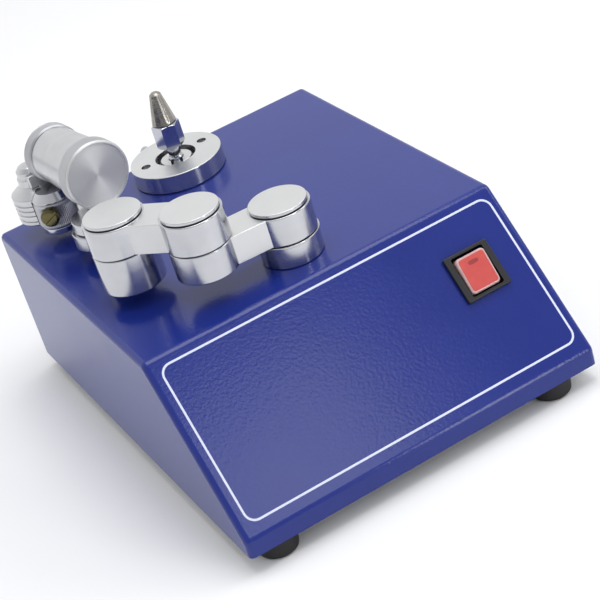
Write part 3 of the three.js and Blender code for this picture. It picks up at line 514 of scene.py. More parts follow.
def turned(name, profile, pivot, axis=UP, sides=112, ring=False, relief=None):
    """Surface of revolution: each profile point (radius, height) goes once round the axis.
    relief(turn, height) is added to the radius. A ring's profile closes on itself. The map
    "turn" runs once round in u, for the direction of tool marks."""
    profile = np.array(profile, float)
    axis = np.array(axis, float) / np.linalg.norm(axis)
    side = np.cross(axis, UP if abs(axis[2]) < 0.9 else np.array([0, 1.0, 0]))
    side /= np.linalg.norm(side)
    across = np.cross(axis, side)
    turn = np.linspace(0, 2 * math.pi, sides, endpoint=False)
    radius = np.repeat(profile[:, :1], sides, 1)
    if relief is not None:
        radius = radius + relief(turn[None, :], profile[:, 1:])
    spokes = np.cos(turn)[:, None] * side + np.sin(turn)[:, None] * across
    points = pivot + profile[:, 1][:, None, None] * axis + radius[..., None] * spokes
    piece = mesh_piece(name, points, grid_faces(len(profile), sides, ring))
    rows = len(profile) if ring else len(profile) - 1
    u = np.tile(np.arange(sides), rows)[:, None] + np.array([0, 1, 1, 0])
    v = np.repeat(np.arange(rows), sides)[:, None] + np.array([0, 0, 1, 1])
    layer = piece.data.uv_layers.new(name="turn")
    layer.data.foreach_set("uv", np.stack([u / sides, v / rows], -1).ravel())
    return shade(tidy(piece))


# Moulded rubber is nearly black and dull, with a fine grain from its mould.
rubber = mottled(
    "moulded_black_rubber", {"Roughness": 0.62, "IOR": 1.5}, ("#0d0c0d", "#1c1a1b"), 1 / (0.5 * MM), 3.0,
    0.02 * MM)
for name in PLACES:
    low, high = (np.array(corner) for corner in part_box(f"foot_{name}"))
    middle = (low + high) / 2
    radius = (high[0] - low[0]) / 2
    tall = high[2]
    profile = filleted(
        [
            (2.1 * MM, tall, 0),
            (2.1 * MM, 5 * MM, 0),
            (4.1 * MM, 5 * MM, 0),
            (4.1 * MM, 0, 0.3 * MM),
            (radius - 0.3 * MM, 0, 2.2 * MM),
            (radius, tall * 0.5, 1 * MM),
            (radius, tall, 0.3 * MM),
        ],
        closed=True,
    )
    foot = turned(f"rubber_foot_{name}", profile, (middle[0], middle[1], 0), sides=72, ring=True)
    fit(foot, "base", rubber, "black_rubber", f"foot_{name}")


# ---------------------------------------------------------------------------------------------
# Rocker switch. A snap-in body moulded in black nylon, and a clear rocker over a red filter that
# a neon lamp lights from below. The lamp's shadow is painted into the filter's colour as a darker bar
# near the top of the rocker.
# ---------------------------------------------------------------------------------------------
BEZEL_HALF = 12.7 * MM
ROCKER_HALF_X, ROCKER_HALF_Y = 8.5 * MM, 9.7 * MM
ROCKER_TILT = math.radians(7)
bezel_outline = rectangle(BEZEL_HALF, BEZEL_HALF, 0.9 * MM)
bezel = slab("switch_bezel", bezel_outline, 0.3 * MM, 2.5 * MM, 0.55 * MM, switch_place, SLOPE_AXES)
body_outline = rectangle(10.8 * MM, 10.8 * MM, 0.5 * MM)
snap_body = slab("snap_body", body_outline, -18 * MM, 1 * MM, 0.3 * MM, switch_place, SLOPE_AXES)
well = cutter(9.3 * MM, 11.0 * MM, 1.2 * MM, switch_place, SLOPE_AXES, 16 * MM)
bezel = joined(bezel, snap_body, how="UNION")
bezel = joined(bezel, well)
# Black moulded nylon takes the fine spark-eroded texture of its mould, and so a soft sheen.
nylon = mottled(
    "black_moulded_nylon", {"Roughness": 0.4, "IOR": 1.53}, ("#0b0c0e", "#17181b"), 1 / (0.35 * MM), 2.0,
    0.012 * MM)
fit(bezel, "base", nylon, "black_plastic", "switch_body")

tilt_cos, tilt_sin = math.cos(ROCKER_TILT), math.sin(ROCKER_TILT)
slope_y, slope_z = np.array(SLOPE_AXES[1]), np.array(SLOPE_AXES[2])
ROCKER_AXES = ((1, 0, 0), slope_y * tilt_cos + slope_z * tilt_sin, slope_z * tilt_cos - slope_y * tilt_sin)
rocker_outline = rectangle(ROCKER_HALF_X, ROCKER_HALF_Y, 2.2 * MM, 8)
rocker = slab("rocker_body", rocker_outline, -4 * MM, 3.5 * MM, 1.1 * MM, switch_place, ROCKER_AXES)
# Clear polycarbonate, glossy from a polished mould, tinted by the red behind it.
clear = mottled(
    "clear_polycarbonate", {"Roughness": 0.12, "IOR": 1.58, "Transmission Weight": 0.25},
    ("#d99a9c", "#efd9d6"), 1 / (4 * MM), 1.0)
fit(rocker, "rocker", clear, "red_lens", "switch_rocker")

FILTER_EDGE = 1.0 * MM
filter_half_x, filter_half_y = ROCKER_HALF_X - FILTER_EDGE, ROCKER_HALF_Y - FILTER_EDGE
filter_outline = rectangle(filter_half_x, filter_half_y, 1.6 * MM, 8)
lens = slab("rocker_red_face", filter_outline, 2.0 * MM, 3.6 * MM, 0.3 * MM, switch_place, ROCKER_AXES)
# Red filter: dyed polycarbonate that scatters a little; the lamp's shadow is painted into its colour
# as a darker rounded bar.
dyed = {"Roughness": 0.22, "IOR": 1.58, "Subsurface Weight": 0.2, "Subsurface Scale": 2 * MM}
red, tree, shader = material("red_rocker_filter", dyed)
place = add(tree, "TexCoord")
here = place.outputs["Object"]
local = add(tree, "VectorMath", {0: here, 1: tuple(switch_place)}, operation="SUBTRACT")
offset = local.outputs["Vector"]
up_slope = add(tree, "VectorMath", {0: offset, 1: tuple(ROCKER_AXES[1])}, operation="DOT_PRODUCT")
lamp_x = add(tree, "SeparateXYZ", {"Vector": offset})
LAMP_UP, LAMP_HALF_X, LAMP_HALF_Y = 5.2 * MM, 2.9 * MM, 1.1 * MM
off_middle = add(tree, "Math", {0: up_slope.outputs["Value"], 1: LAMP_UP}, operation="SUBTRACT")
along = add(tree, "Math", {0: off_middle.outputs["Value"], 1: 1 / LAMP_HALF_Y}, operation="MULTIPLY")
across = add(tree, "Math", {0: lamp_x.outputs["X"], 1: 1 / LAMP_HALF_X}, operation="MULTIPLY")
across_4 = add(tree, "Math", {0: across.outputs["Value"], 1: 4.0}, operation="POWER")
along_2 = add(tree, "Math", {0: along.outputs["Value"], 1: 2.0}, operation="POWER")
far = add(tree, "Math", {0: across_4.outputs["Value"], 1: along_2.outputs["Value"]}, operation="ADD")
fading = {"Value": far.outputs["Value"], "From Min": 0.6, "From Max": 1.5, "To Min": 1.0, "To Max": 0.0}
lamp_shadow_mask = add(tree, "MapRange", fading)
flow = add(tree, "TexNoise", {"Vector": here, "Scale": 1 / (5 * MM), "Detail": 1.0})
tone = add(
    tree, "MixRGB", {"Fac": flow.outputs["Fac"], "Color1": linear("#c94a4a"), "Color2": linear("#d65a50")})
# Painted shadow: inside the lamp's bar the filter's red is mixed towards a darker red.
layers = {"Fac": lamp_shadow_mask.outputs["Result"], "Color1": tone.outputs["Color"], "Color2": linear("#a03a3c")}
shadow = add(tree, "MixRGB", layers)
tree.links.new(shadow.outputs["Color"], shader.inputs["Base Color"])
fit(lens, "rocker", red, "red_lens")


# ---------------------------------------------------------------------------------------------
# Mains inlet. The usual three-blade appliance inlet in black nylon, held by two screws, with two
# corners of its recess cut so that the lead's socket only goes in one way up.
# ---------------------------------------------------------------------------------------------
inlet_x, inlet_z = inlet_middle[0], inlet_middle[2]
flange_half_x, flange_half_z = (inlet_high[0] - inlet_low[0]) / 2, (inlet_high[2] - inlet_low[2]) / 2
inlet_place = (inlet_x, back_wall, inlet_z)
proud = inlet_high[1] - back_wall


def recess(inset):
    """The recess's outline: a rectangle with its two upper corners cut at 45 degrees."""
    x, z, cut = 11.8 * MM - inset, 8 * MM - inset, 4.2 * MM
    r = 0.8 * MM
    plain = [(-x, -z, r), (x, -z, r)]
    keyed = [(x, z - cut, r), (x - cut, z, r), (cut - x, z, r), (-x, z - cut, r)]
    return filleted(plain + keyed, closed=True)


inlet_outline = rectangle(flange_half_x, flange_half_z, 5 * MM)
inlet = slab("mains_inlet", inlet_outline, 0.3 * MM, proud, 0.6 * MM, inlet_place, BACKWARDS)
rear_outline = rectangle(13.5 * MM, 10 * MM, 1.5 * MM)
rear = slab("rear", rear_outline, -20 * MM, 1 * MM, 0.4 * MM, inlet_place, BACKWARDS)
hollow = slab("hollow", recess, proud - 16 * MM, proud + 4 * MM, 0.01 * MM, inlet_place, BACKWARDS, 1)
screw_holes = [
    drill(1.8 * MM, (inlet_x + side * (flange_half_x - 5 * MM), back_wall, inlet_z), (0, 1, 0), 20 * MM, 32)
    for side in (-1, 1)
]
BLADE_GAP, BLADE_CUT = 0.15 * MM, 60 * MM
blade_slots = []
for name in ("line", "neutral", "earth"):
    low, high = (np.array(corner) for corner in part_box(f"inlet_blade_{name}"))
    half_x, _, half_z = (high - low) / 2 + BLADE_GAP
    blade_slots.append(cutter(half_x, half_z, 0.1 * MM, (low + high) / 2, BACKWARDS, BLADE_CUT))
inlet = joined(inlet, rear, how="UNION")
inlet = joined(inlet, hollow, *screw_holes, *blade_slots)
fit(inlet, "base", nylon, "black_plastic", "inlet_body")

# Wiring block behind it: uncoloured nylon, slightly translucent and yellowish.
natural = mottled(
    "natural_nylon", {"Roughness": 0.5, "IOR": 1.53, "Subsurface Weight": 0.3, "Subsurface Scale": 3 * MM},
    ("#d6d3c6", "#e8e6db"), 1 / (6 * MM), 2.0)
finish_node(["terminal_block"], natural)


# ---------------------------------------------------------------------------------------------
# Spindle flange. Turned from aluminium bar: the rim is left bright from the lathe and the top is
# bead blasted and clear anodised, which makes it an even, sparkling white-grey.
# ---------------------------------------------------------------------------------------------
def lathe_metal(name, colours, roughness, anisotropic, groove, depth, speckle=0.08):
    """Turned metal. Fine tool grooves run round the axis, so highlights stretch across them. Real
    grooves are too fine to show: groove is how many are drawn over a piece's length."""
    streaks = {"Anisotropic": anisotropic, "Anisotropic Rotation": 0.25}
    made, tree, shader = material(name, {"Metallic": 1.0, "Roughness": roughness, **streaks})
    place = add(tree, "TexCoord")
    map_uv = add(tree, "UVMap", uv_map="turn")
    cloud = add(tree, "TexNoise", {"Vector": place.outputs["Object"], "Scale": 1 / (9 * MM), "Detail": 3.0})
    cut = add(tree, "SeparateXYZ", {"Vector": map_uv.outputs["UV"]})
    along = {"W": cut.outputs["Y"], "Scale": groove, "Detail": 2.0}
    lines = add(tree, "TexNoise", along, noise_dimensions="1D").outputs["Fac"]
    first, second = (linear(colour) for colour in colours)
    tone = add(tree, "MixRGB", {"Fac": cloud.outputs["Fac"], "Color1": first, "Color2": second})
    patch = add(
        tree, "MapRange", {"Value": lines, "To Min": roughness - speckle, "To Max": roughness + speckle})
    ridge = add(tree, "Bump", {"Height": lines, "Distance": depth, "Strength": 0.5})
    around = add(tree, "Tangent", direction_type="UV_MAP", uv_map="turn")
    tree.links.new(tone.outputs["Color"], shader.inputs["Base Color"])
    tree.links.new(patch.outputs["Result"], shader.inputs["Roughness"])
    tree.links.new(ridge.outputs["Normal"], shader.inputs["Normal"])
    tree.links.new(around.outputs["Tangent"], shader.inputs["Tangent"])
    return made


def blasted_metal(name, colours, roughness, grit, depth):
    """Bead-blasted metal: an even field of shallow dents about one grit size apart."""
    made, tree, shader = material(name, {"Metallic": 1.0, "Roughness": roughness})
    here = add(tree, "TexCoord").outputs["Object"]
    dents = add(tree, "TexNoise", {"Vector": here, "Scale": 1 / grit, "Detail": 3.0}).outputs["Fac"]
    cloud = add(tree, "TexNoise", {"Vector": here, "Scale": 1 / (14 * MM), "Detail": 2.0})
    first, second = (linear(colour) for colour in colours)
    tone = add(tree, "MixRGB", {"Fac": cloud.outputs["Fac"], "Color1": first, "Color2": second})
    patch = add(tree, "MapRange", {"Value": dents, "To Min": roughness - 0.05, "To Max": roughness + 0.07})
    pit = add(tree, "Bump", {"Height": dents, "Distance": depth, "Strength": 0.4})
    tree.links.new(tone.outputs["Color"], shader.inputs["Base Color"])
    tree.links.new(patch.outputs["Result"], shader.inputs["Roughness"])
    tree.links.new(pit.outputs["Normal"], shader.inputs["Normal"])
    return made


def face_finish(piece, finish, axis, least):
    """Faces whose normal lies within the given cosine of the axis, either way, take the finish."""
    piece.data.materials.append(finish)
    count = len(piece.data.polygons)
    normals = np.empty(count * 3, np.float32)
    piece.data.polygons.foreach_get("normal", normals)
    along = np.abs(normals.reshape(-1, 3) @ np.array(axis, float))
    index = np.where(along > least, len(piece.data.materials) - 1, 0).astype(np.int32)
    piece.data.polygons.foreach_set("material_index", index)


# Bright turned aluminium is left as the tool cut it: it mirrors its surroundings in long streaks.
# Bead-blasted aluminium scatters light evenly and looks pale and soft beside it.
bright_turned = lathe_metal(
    "bright_turned_aluminium", ("#bcbdc2", "#cdced2"), 0.17, 0.8, 60.0, 0.003 * MM, 0.05)
satin = blasted_metal("bead_blasted_aluminium", ("#d2d3d4", "#dcdddd"), 0.36, 0.35 * MM, 0.02 * MM)
flange_pivot = np.array([spindle_place[0], spindle_place[1], 0])
flange_low, flange_high, flange_radius = reach("spindle_flange", flange_pivot, UP)
SPIGOT = 14.3 * MM
SEAT = 11.3 * MM
BORE = 11.6 * MM
flange_profile = filleted(
    [
        (SEAT, flange_low, 0.2 * MM),
        (SPIGOT, flange_low, 0.4 * MM),
        (SPIGOT, TOP + 0.3 * MM, 0),
        (flange_radius - 0.3 * MM, TOP + 0.3 * MM, 0.2 * MM),
        (flange_radius, TOP + 0.8 * MM, 0.2 * MM),
        (flange_radius, flange_high, 0.5 * MM),
        (BORE, flange_high, 0.4 * MM),
        (BORE, TOP + 5 * MM, 0),
        (SEAT, TOP + 5 * MM, 0),
    ],
    closed=True,
)
flange = turned("spindle_flange_housing", flange_profile, flange_pivot, sides=160, ring=True)
holes = []
for number in (1, 2):
    low, high = (np.array(corner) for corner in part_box(f"flange_screw_{number}"))
    middle = (low + high) / 2
    holes.append(drill(2.7 * MM, (middle[0], middle[1], TOP + 6 * MM), UP, 20 * MM, 48))
set_axis = np.array(joint["set_screw_turn"]["axis"])
set_place = np.array(joint["set_screw_turn"]["pos_m"])
holes.append(drill(1.8 * MM, set_place + set_axis * 26 * MM, set_axis, 16 * MM, 32))
flange = joined(flange, *holes)
fit(flange, "base", bright_turned, "satin_aluminium", "spindle_flange")
face_finish(flange, satin, UP, 0.5)

# Hand screw at the flange's back, which pinches the spigot's bearing: turned, with a knurled head.
near_end, far_end, head_radius = reach("flange_set_screw", set_place, set_axis)
head_from = flange_radius + 0.3 * MM


def straight_knurl(teeth, depth, start, stop, fade=0.4 * MM):
    """Relief of a straight knurl: a triangle wave round the turn, fading out at both ends."""

    def relief(turn, height):
        """Depth below the radius at that turn and height."""
        wave = np.abs((turn * teeth / (2 * math.pi)) % 1 * 2 - 1)
        ends = np.clip(np.minimum(height - start, stop - height) / fade, 0, 1)
        return -depth * wave * ends

    return relief


def rows(start, stop, count):
    """Profile heights between two ends, for parts whose surface needs many rows."""
    return np.linspace(start, stop, count)


hand_profile = [(0, near_end), (1.5 * MM, near_end), (1.5 * MM, head_from), (2.3 * MM, head_from)]
hand_profile += [(head_radius, h) for h in rows(head_from + 0.5 * MM, far_end - 0.6 * MM, 10)]
hand_profile += [(head_radius - 0.6 * MM, far_end), (0, far_end)]
knurl = straight_knurl(28, 0.22 * MM, head_from + 0.5 * MM, far_end - 0.6 * MM)
hand_screw = turned("flange_hand_screw", hand_profile, set_place, set_axis, 28 * 6, relief=knurl)
fit(hand_screw, "set_screw", bright_turned, "satin_aluminium", "flange_set_screw")


# ---------------------------------------------------------------------------------------------
# Spindle. A hardened shaft carries a slotted clamping collar, a chromed hexagon that takes a
# spanner, and the honing cone: sintered carbide, brownish grey, with shallow lengthwise flats.
# ---------------------------------------------------------------------------------------------
# Chrome plate over polished steel is a slightly blue mirror with a trace of the polishing marks.
chrome = lathe_metal("bright_chrome_plate", ("#b9bcc6", "#c6c8d0"), 0.1, 0.3, 40.0, 0.001 * MM, 0.03)
pivot = flange_pivot
shaft_low, shaft_high, shaft_radius = reach("spindle_shaft", pivot, UP)
NECK = 3.4 * MM
shaft_profile = filleted(
    [
        (0, shaft_low, 0),
        (shaft_radius, shaft_low, 0.3 * MM),
        (shaft_radius, flange_high - 0.6 * MM, 0.1 * MM),
        (NECK, flange_high, 0.1 * MM),
        (NECK, shaft_high, 0.2 * MM),
        (0, shaft_high, 0),
    ]
)
shaft = turned("spindle_shaft_ground", shaft_profile, pivot, sides=64)
fit(shaft, "spindle", chrome, "bright_chrome", "spindle_shaft")

collar_low, collar_high, collar_radius = reach("hub_collar", pivot, UP)
collar_profile = filleted(
    [
        (4.3 * MM, collar_low, 0.1 * MM),
        (collar_radius, collar_low, 0.2 * MM),
        (collar_radius, collar_high, 0.5 * MM),
        (4.3 * MM, collar_high, 0.3 * MM),
    ],
    closed=True,
)
collar = turned("clamping_collar", collar_profile, pivot, sides=96, ring=True)
SLOT_TURN = math.radians(-20)
slot_axes = (
    (math.cos(SLOT_TURN), math.sin(SLOT_TURN), 0),
    (-math.sin(SLOT_TURN), math.cos(SLOT_TURN), 0),
    (0, 0, 1),
)
SLOT_APART, SLOT_DEPTH = 2.6 * MM, 4.4 * MM
slot_middle = pivot + UP * (collar_high - 0.4 * MM)
slot_places = [slot_middle + np.array(slot_axes[0]) * side * SLOT_APART for side in (-1, 1)]
slots = [cutter(0.8 * MM, 12 * MM, 0.1 * MM, place, slot_axes, SLOT_DEPTH) for place in slot_places]
collar = joined(collar, *slots)
fit(collar, "spindle", satin, "turned_aluminium", "hub_collar")

hex_low, hex_high, hex_corner = reach("hex_arbor", pivot, UP)
APOTHEM = hex_corner * math.cos(math.pi / 6)
CHAMFER_IN, CHAMFER_ANGLE = 0.25 * MM, math.radians(60)
hex_points = coords("hex_arbor")[:, :2] - pivot[:2]
widest = hex_points[np.argmax(np.linalg.norm(hex_points, axis=1))]
hex_turn = math.atan2(widest[1], widest[0]) % (math.pi / 3)
HEX_SIDES = 360


def hexagon(turn, height):
    """Relief that turns a cylinder of the corner radius into a chamfered hexagon: the nearer of
    the flats and of a cone at each end."""
    flat = APOTHEM / np.cos((turn - hex_turn) % (math.pi / 3) - math.pi / 6)
    to_end = np.minimum(hex_high - height, (height - hex_low) * 1.5 + 0.2 * MM)
    cone = APOTHEM - CHAMFER_IN + to_end * math.tan(CHAMFER_ANGLE)
    return np.minimum(flat, cone) - hex_corner


hex_side = [(hex_corner, h) for h in np.concatenate([
    rows(hex_low, hex_low + 1 * MM, 8), rows(hex_low + 1.4 * MM, hex_high - 1.6 * MM, 4),
    rows(hex_high - 1.2 * MM, hex_high, 12)])]


def hexagon_with_ends(turn, height):
    """The hexagon's relief on the side's rows, and none on the two rows of each flat end."""
    plain = np.zeros((2, HEX_SIDES))
    return np.vstack([plain, hexagon(turn, height[2:-2]), plain])


low_end = [(0, hex_low), (APOTHEM - 0.1 * MM, hex_low)]
high_end = [(APOTHEM - CHAMFER_IN, hex_high), (0, hex_high)]
arbor = turned(
    "hexagon_arbor", low_end + hex_side + high_end, pivot, sides=HEX_SIDES, relief=hexagon_with_ends)
fit(shade(arbor, 20), "spindle", chrome, "bright_chrome", "hex_arbor")

cone_low, cone_high, cone_radius = reach("honing_cone", pivot, UP)
cone_from = hex_high + 0.3 * MM
TIP = 3.3 * MM
FLATS, FLAT_DEPTH = 14, 0.16 * MM
cone_outline = filleted(
    [
        (0, cone_low, 0),
        (2.5 * MM, cone_low, 0.2 * MM),
        (2.5 * MM, cone_from, 0),
        (cone_radius - 0.2 * MM, cone_from, 0.2 * MM),
        (cone_radius, cone_from + 0.7 * MM, 0.5 * MM),
        (TIP, cone_high - 1.4 * MM, 0.7 * MM),
        (TIP - 1.3 * MM, cone_high - 0.3 * MM, 1 * MM),
        (0, cone_high, 0),
    ]
)


def flats(turn, height):
    """Relief of shallow lengthwise flats on the cone's working length."""
    rising = np.clip((height - cone_from - 0.8 * MM) / MM, 0, 1)
    falling = np.clip((cone_high - 1.2 * MM - height) / MM, 0, 1)
    return -FLAT_DEPTH * (0.5 - 0.5 * np.cos(turn * FLATS)) * rising * falling


dense = [tuple(cone_outline[0])]
for start, stop in zip(cone_outline[:-1], cone_outline[1:]):
    pieces = max(1, int(abs(stop[1] - start[1]) / (0.8 * MM)))
    dense += [tuple(start + (stop - start) * k / pieces) for k in range(1, pieces + 1)]
cone = turned("carbide_honing_cone", dense, pivot, sides=FLATS * 10, relief=flats)
# Ground carbide is brownish grey and half dull, with fine grinding marks round the cone.
carbide = lathe_metal("ground_carbide", ("#918d86", "#aaa69f"), 0.26, 0.5, 24.0, 0.003 * MM)
fit(cone, "spindle", carbide, "honing_steel", "honing_cone")

# Sealed ball bearings: ground steel rings with black rubber seals on both faces.
BEARING_BORE = 4.3 * MM
for name in ("bearing_upper", "bearing_lower"):
    low, high, radius = reach(name, pivot, UP)
    ring_profile = filleted(
        [
            (BEARING_BORE, low, 0.2 * MM),
            (radius, low, 0.4 * MM),
            (radius, high, 0.4 * MM),
            (BEARING_BORE, high, 0.2 * MM),
        ],
        closed=True,
    )
    bearing = turned(f"sealed_{name}", ring_profile, pivot, sides=96, ring=True)
    fit(bearing, "base", chrome, "bright_chrome", name)
    face_finish(bearing, rubber, UP, 0.5)

# Pins are ground bearing steel: darker than aluminium, smooth and evenly shiny.
steel = blasted_metal("ground_bearing_steel", ("#aeb0b4", "#bcbdc0"), 0.18, 0.5 * MM, 0.002 * MM)
finish_node(["shoulder_pin", "elbow_pin", "wrist_pin", "swivel_pin", "tilt_shaft"], steel)


# ---------------------------------------------------------------------------------------------
# Motor and coupling, hidden under the cover: a die-cast end bell, a can painted black, enamelled
# copper windings and a clamped aluminium coupling. Sintered bronze bushes sit in the arm's eyes.
# ---------------------------------------------------------------------------------------------
# Die-cast aluminium is dull with a coarse skin, and sintered bronze is brown and finely porous.
cast = blasted_metal("die_cast_aluminium", ("#b4b6ba", "#c6c7ca"), 0.38, 0.9 * MM, 0.03 * MM)
bronze = blasted_metal("sintered_bronze", ("#8a6c3c", "#a98a52"), 0.42, 0.4 * MM, 0.02 * MM)
finish_node(["shaft_coupling", "motor_end_bell"], cast)
finish_node(["shoulder_bush", "elbow_bush", "wrist_bush"], bronze)
finish_node(["motor_can"], nylon)
# Enamelled copper wire is red-brown and glossy. Its turns are drawn 0.8 mm apart, coarser than
# real ones, so that they show. Their colour is painted darker between turns and lighter on their
# crowns, as painted shade and highlight.
copper, tree, shader = material("enamelled_copper_wire", {"Metallic": 0.7, "Roughness": 0.35})
place = add(tree, "TexCoord")
turns = add(
    tree, "TexWave", {"Vector": place.outputs["Object"], "Scale": 0.16 / (0.8 * MM), "Distortion": 1.5},
    bands_direction="Z")
# Painted shade and highlight: the dark tone lies in the grooves between turns, the light one on their crowns.
tone = add(
    tree, "MixRGB", {"Fac": turns.outputs["Fac"], "Color1": linear("#5a2d14"), "Color2": linear("#9a5a2c")})
wire = add(tree, "Bump", {"Height": turns.outputs["Fac"], "Distance": 0.2 * MM, "Strength": 0.6})
tree.links.new(tone.outputs["Color"], shader.inputs["Base Color"])
tree.links.new(wire.outputs["Normal"], shader.inputs["Normal"])
finish_node(["motor_stator"], copper)


# ---------------------------------------------------------------------------------------------
# Arm. A turned post carries three links, each milled from aluminium: the round eyes are turned
# bright, and the flat bars between them are bead blasted. A thin cap closes each pivot.
# ---------------------------------------------------------------------------------------------
EYE = 16.2 * MM
BAR_HALF = 10.75 * MM
PIN_HOLE, BUSH_HOLE = 4.3 * MM, 6.5 * MM
BLIND = 2.4 * MM
post_low, post_high, post_radius = reach("arm_post", np.array([post_place[0], post_place[1], 0]), UP)
RIM = 1.1 * MM
post_profile = filleted(
    [
        (PIN_HOLE, post_low, 0),
        (EYE, post_low, 0.4 * MM),
        (EYE, post_high - RIM, 0.1 * MM),
        (post_radius, post_high - RIM, 0.2 * MM),
        (post_radius, post_high, 0.3 * MM),
        (PIN_HOLE, post_high, 0),
    ],
    closed=True,
)
post = turned("arm_post_turned", post_profile, (post_place[0], post_place[1], 0), sides=144, ring=True)
fit(post, "base", bright_turned, "satin_aluminium", "arm_post")


def eye(place, low, high, radius):
    """A solid round eye with rounded rims, turned bright."""
    rounded = filleted(
        [(0, low, 0), (radius, low, 0.5 * MM), (radius, high, 0.5 * MM), (0, high, 0)])
    return painted(turned("eye", rounded, (place[0], place[1], 0), sides=144), bright_turned)


def link(name, ends, eyes, bar_low, bar_high, holes):
    """Two eyes joined by a flat bar. Each eye is (low, high, radius), and each hole is
    (place, radius, low, high)."""
    start, stop = (np.array([end[0], end[1], 0]) for end in ends)
    run = stop - start
    length = np.linalg.norm(run)
    forward = run / length
    axes = (forward, np.cross(UP, forward), UP)
    middle = (start + stop) / 2
    outline = rectangle(length / 2, BAR_HALF, 0.01 * MM, 1)
    flat = slab("bar", outline, bar_low, bar_high, 0.35 * MM, middle, axes)
    body = eye(start, *eyes[0])
    body = joined(body, eye(stop, *eyes[1]), painted(flat, satin), how="UNION")
    drills = [
        drill(radius, (place[0], place[1], (low + high) / 2), UP, high - low, 48)
        for place, radius, low, high in holes
    ]
    body = joined(body, *drills)
    body.name = name
    return body


elbow_place, wrist_place, swivel_place = (
    np.array(joint[name]["pos_m"]) for name in ("elbow", "wrist", "head_swivel"))
heights = {name: coords(f"{name}_link")[:, 2] for name in ("lower", "upper", "wrist")}
lower_low, lower_high = heights["lower"].min(), heights["lower"].max()
upper_low, upper_high = heights["upper"].min(), heights["upper"].max()
wrist_low, wrist_high = heights["wrist"].min(), heights["wrist"].max()
WRIST_BAR = 8 * MM
PAST = 5 * MM
SKIN = 0.1 * MM
lower = link(
    "lower_link_milled", (post_place, elbow_place), [(lower_low, lower_high, EYE)] * 2,
    lower_low + SKIN, lower_high - SKIN,
    [(post_place, BUSH_HOLE, lower_low - PAST, lower_high + PAST),
     (elbow_place, PIN_HOLE, lower_low + BLIND, lower_high + PAST)])
fit(lower, "lower_arm", None, "satin_aluminium", "lower_link")
upper = link(
    "upper_link_milled", (elbow_place, wrist_place), [(upper_low, upper_high, EYE)] * 2,
    upper_low + SKIN, upper_high - SKIN,
    [(elbow_place, BUSH_HOLE, upper_low - PAST, upper_high + PAST),
     (wrist_place, PIN_HOLE, upper_low - PAST, upper_high + PAST)])
fit(upper, "upper_arm", None, "satin_aluminium", "upper_link")
wrist = link(
    "wrist_link_milled", (wrist_place, swivel_place),
    ((wrist_low, wrist_high, EYE), (wrist_low, wrist_low + WRIST_BAR, 15.8 * MM)),
    wrist_low + SKIN, wrist_low + WRIST_BAR - SKIN,
    [(wrist_place, BUSH_HOLE, wrist_low + BLIND, wrist_high + PAST),
     (swivel_place, PIN_HOLE, wrist_low + BLIND, wrist_high + PAST)])
fit(wrist, "wrist_arm", None, "satin_aluminium", "wrist_link")

for name, place, body in (
    ("shoulder", post_place, "lower_arm"),
    ("elbow", elbow_place, "upper_arm"),
    ("wrist", wrist_place, "upper_arm"),
):
    pivot = np.array([place[0], place[1], 0])
    low, high, radius = reach(f"{name}_cap", pivot, UP)
    cap_profile = filleted([(0, low, 0), (radius, low, 0.2 * MM), (radius, high, 0.45 * MM), (0, high, 0)])
    cap = turned(f"{name}_cap_satin", cap_profile, pivot, sides=144)
    fit(cap, body, bright_turned, "satin_aluminium", f"{name}_cap")
    face_finish(cap, satin, UP, 0.5)


# ---------------------------------------------------------------------------------------------
# Guide head. A pedestal swivels on the last link and carries a conical drum; a shaft through the
# drum joins the front knob to the indexed disc behind. All are turned aluminium.
# ---------------------------------------------------------------------------------------------
HEAD_Y = np.array(joint["head_tilt"]["axis"])
HEAD_X = np.array([HEAD_Y[1], -HEAD_Y[0], 0])
HEAD_AXES = (HEAD_X, HEAD_Y, UP)
tilt_place = np.array(joint["head_tilt"]["pos_m"])
head_origin = np.array([swivel_place[0], swivel_place[1], 0])
tilt_pivot = tilt_place - HEAD_Y * ((tilt_place - head_origin) @ HEAD_Y)
DRUM_FRONT, DRUM_BACK = 0.0, 37.1 * MM
DRUM_R_FRONT, DRUM_R_BACK = 16.2 * MM, 14.9 * MM
SHAFT_HOLE = 5.3 * MM


def drum_profile(extra):
    """Side of the conical drum, grown outwards by extra."""
    return filleted(
        [
            (0, DRUM_FRONT - extra, 0),
            (DRUM_R_FRONT + extra, DRUM_FRONT - extra, 0.3 * MM),
            (DRUM_R_BACK + extra, DRUM_BACK + extra, 0.3 * MM),
            (0, DRUM_BACK + extra, 0),
        ]
    )


# Satin-turned aluminium has a finer, softer streak than the bright turned parts.
satin_turned = lathe_metal("satin_turned_aluminium", ("#c2c3c6", "#d0d1d3"), 0.22, 0.75, 90.0, 0.006 * MM)
drum = turned("guide_drum", drum_profile(0), tilt_pivot, HEAD_Y, 144)
drum = joined(drum, drill(SHAFT_HOLE, tilt_pivot + HEAD_Y * DRUM_BACK / 2, HEAD_Y, 60 * MM, 48))
fit(drum, "head", satin_turned, "turned_aluminium", "drum_sleeve")

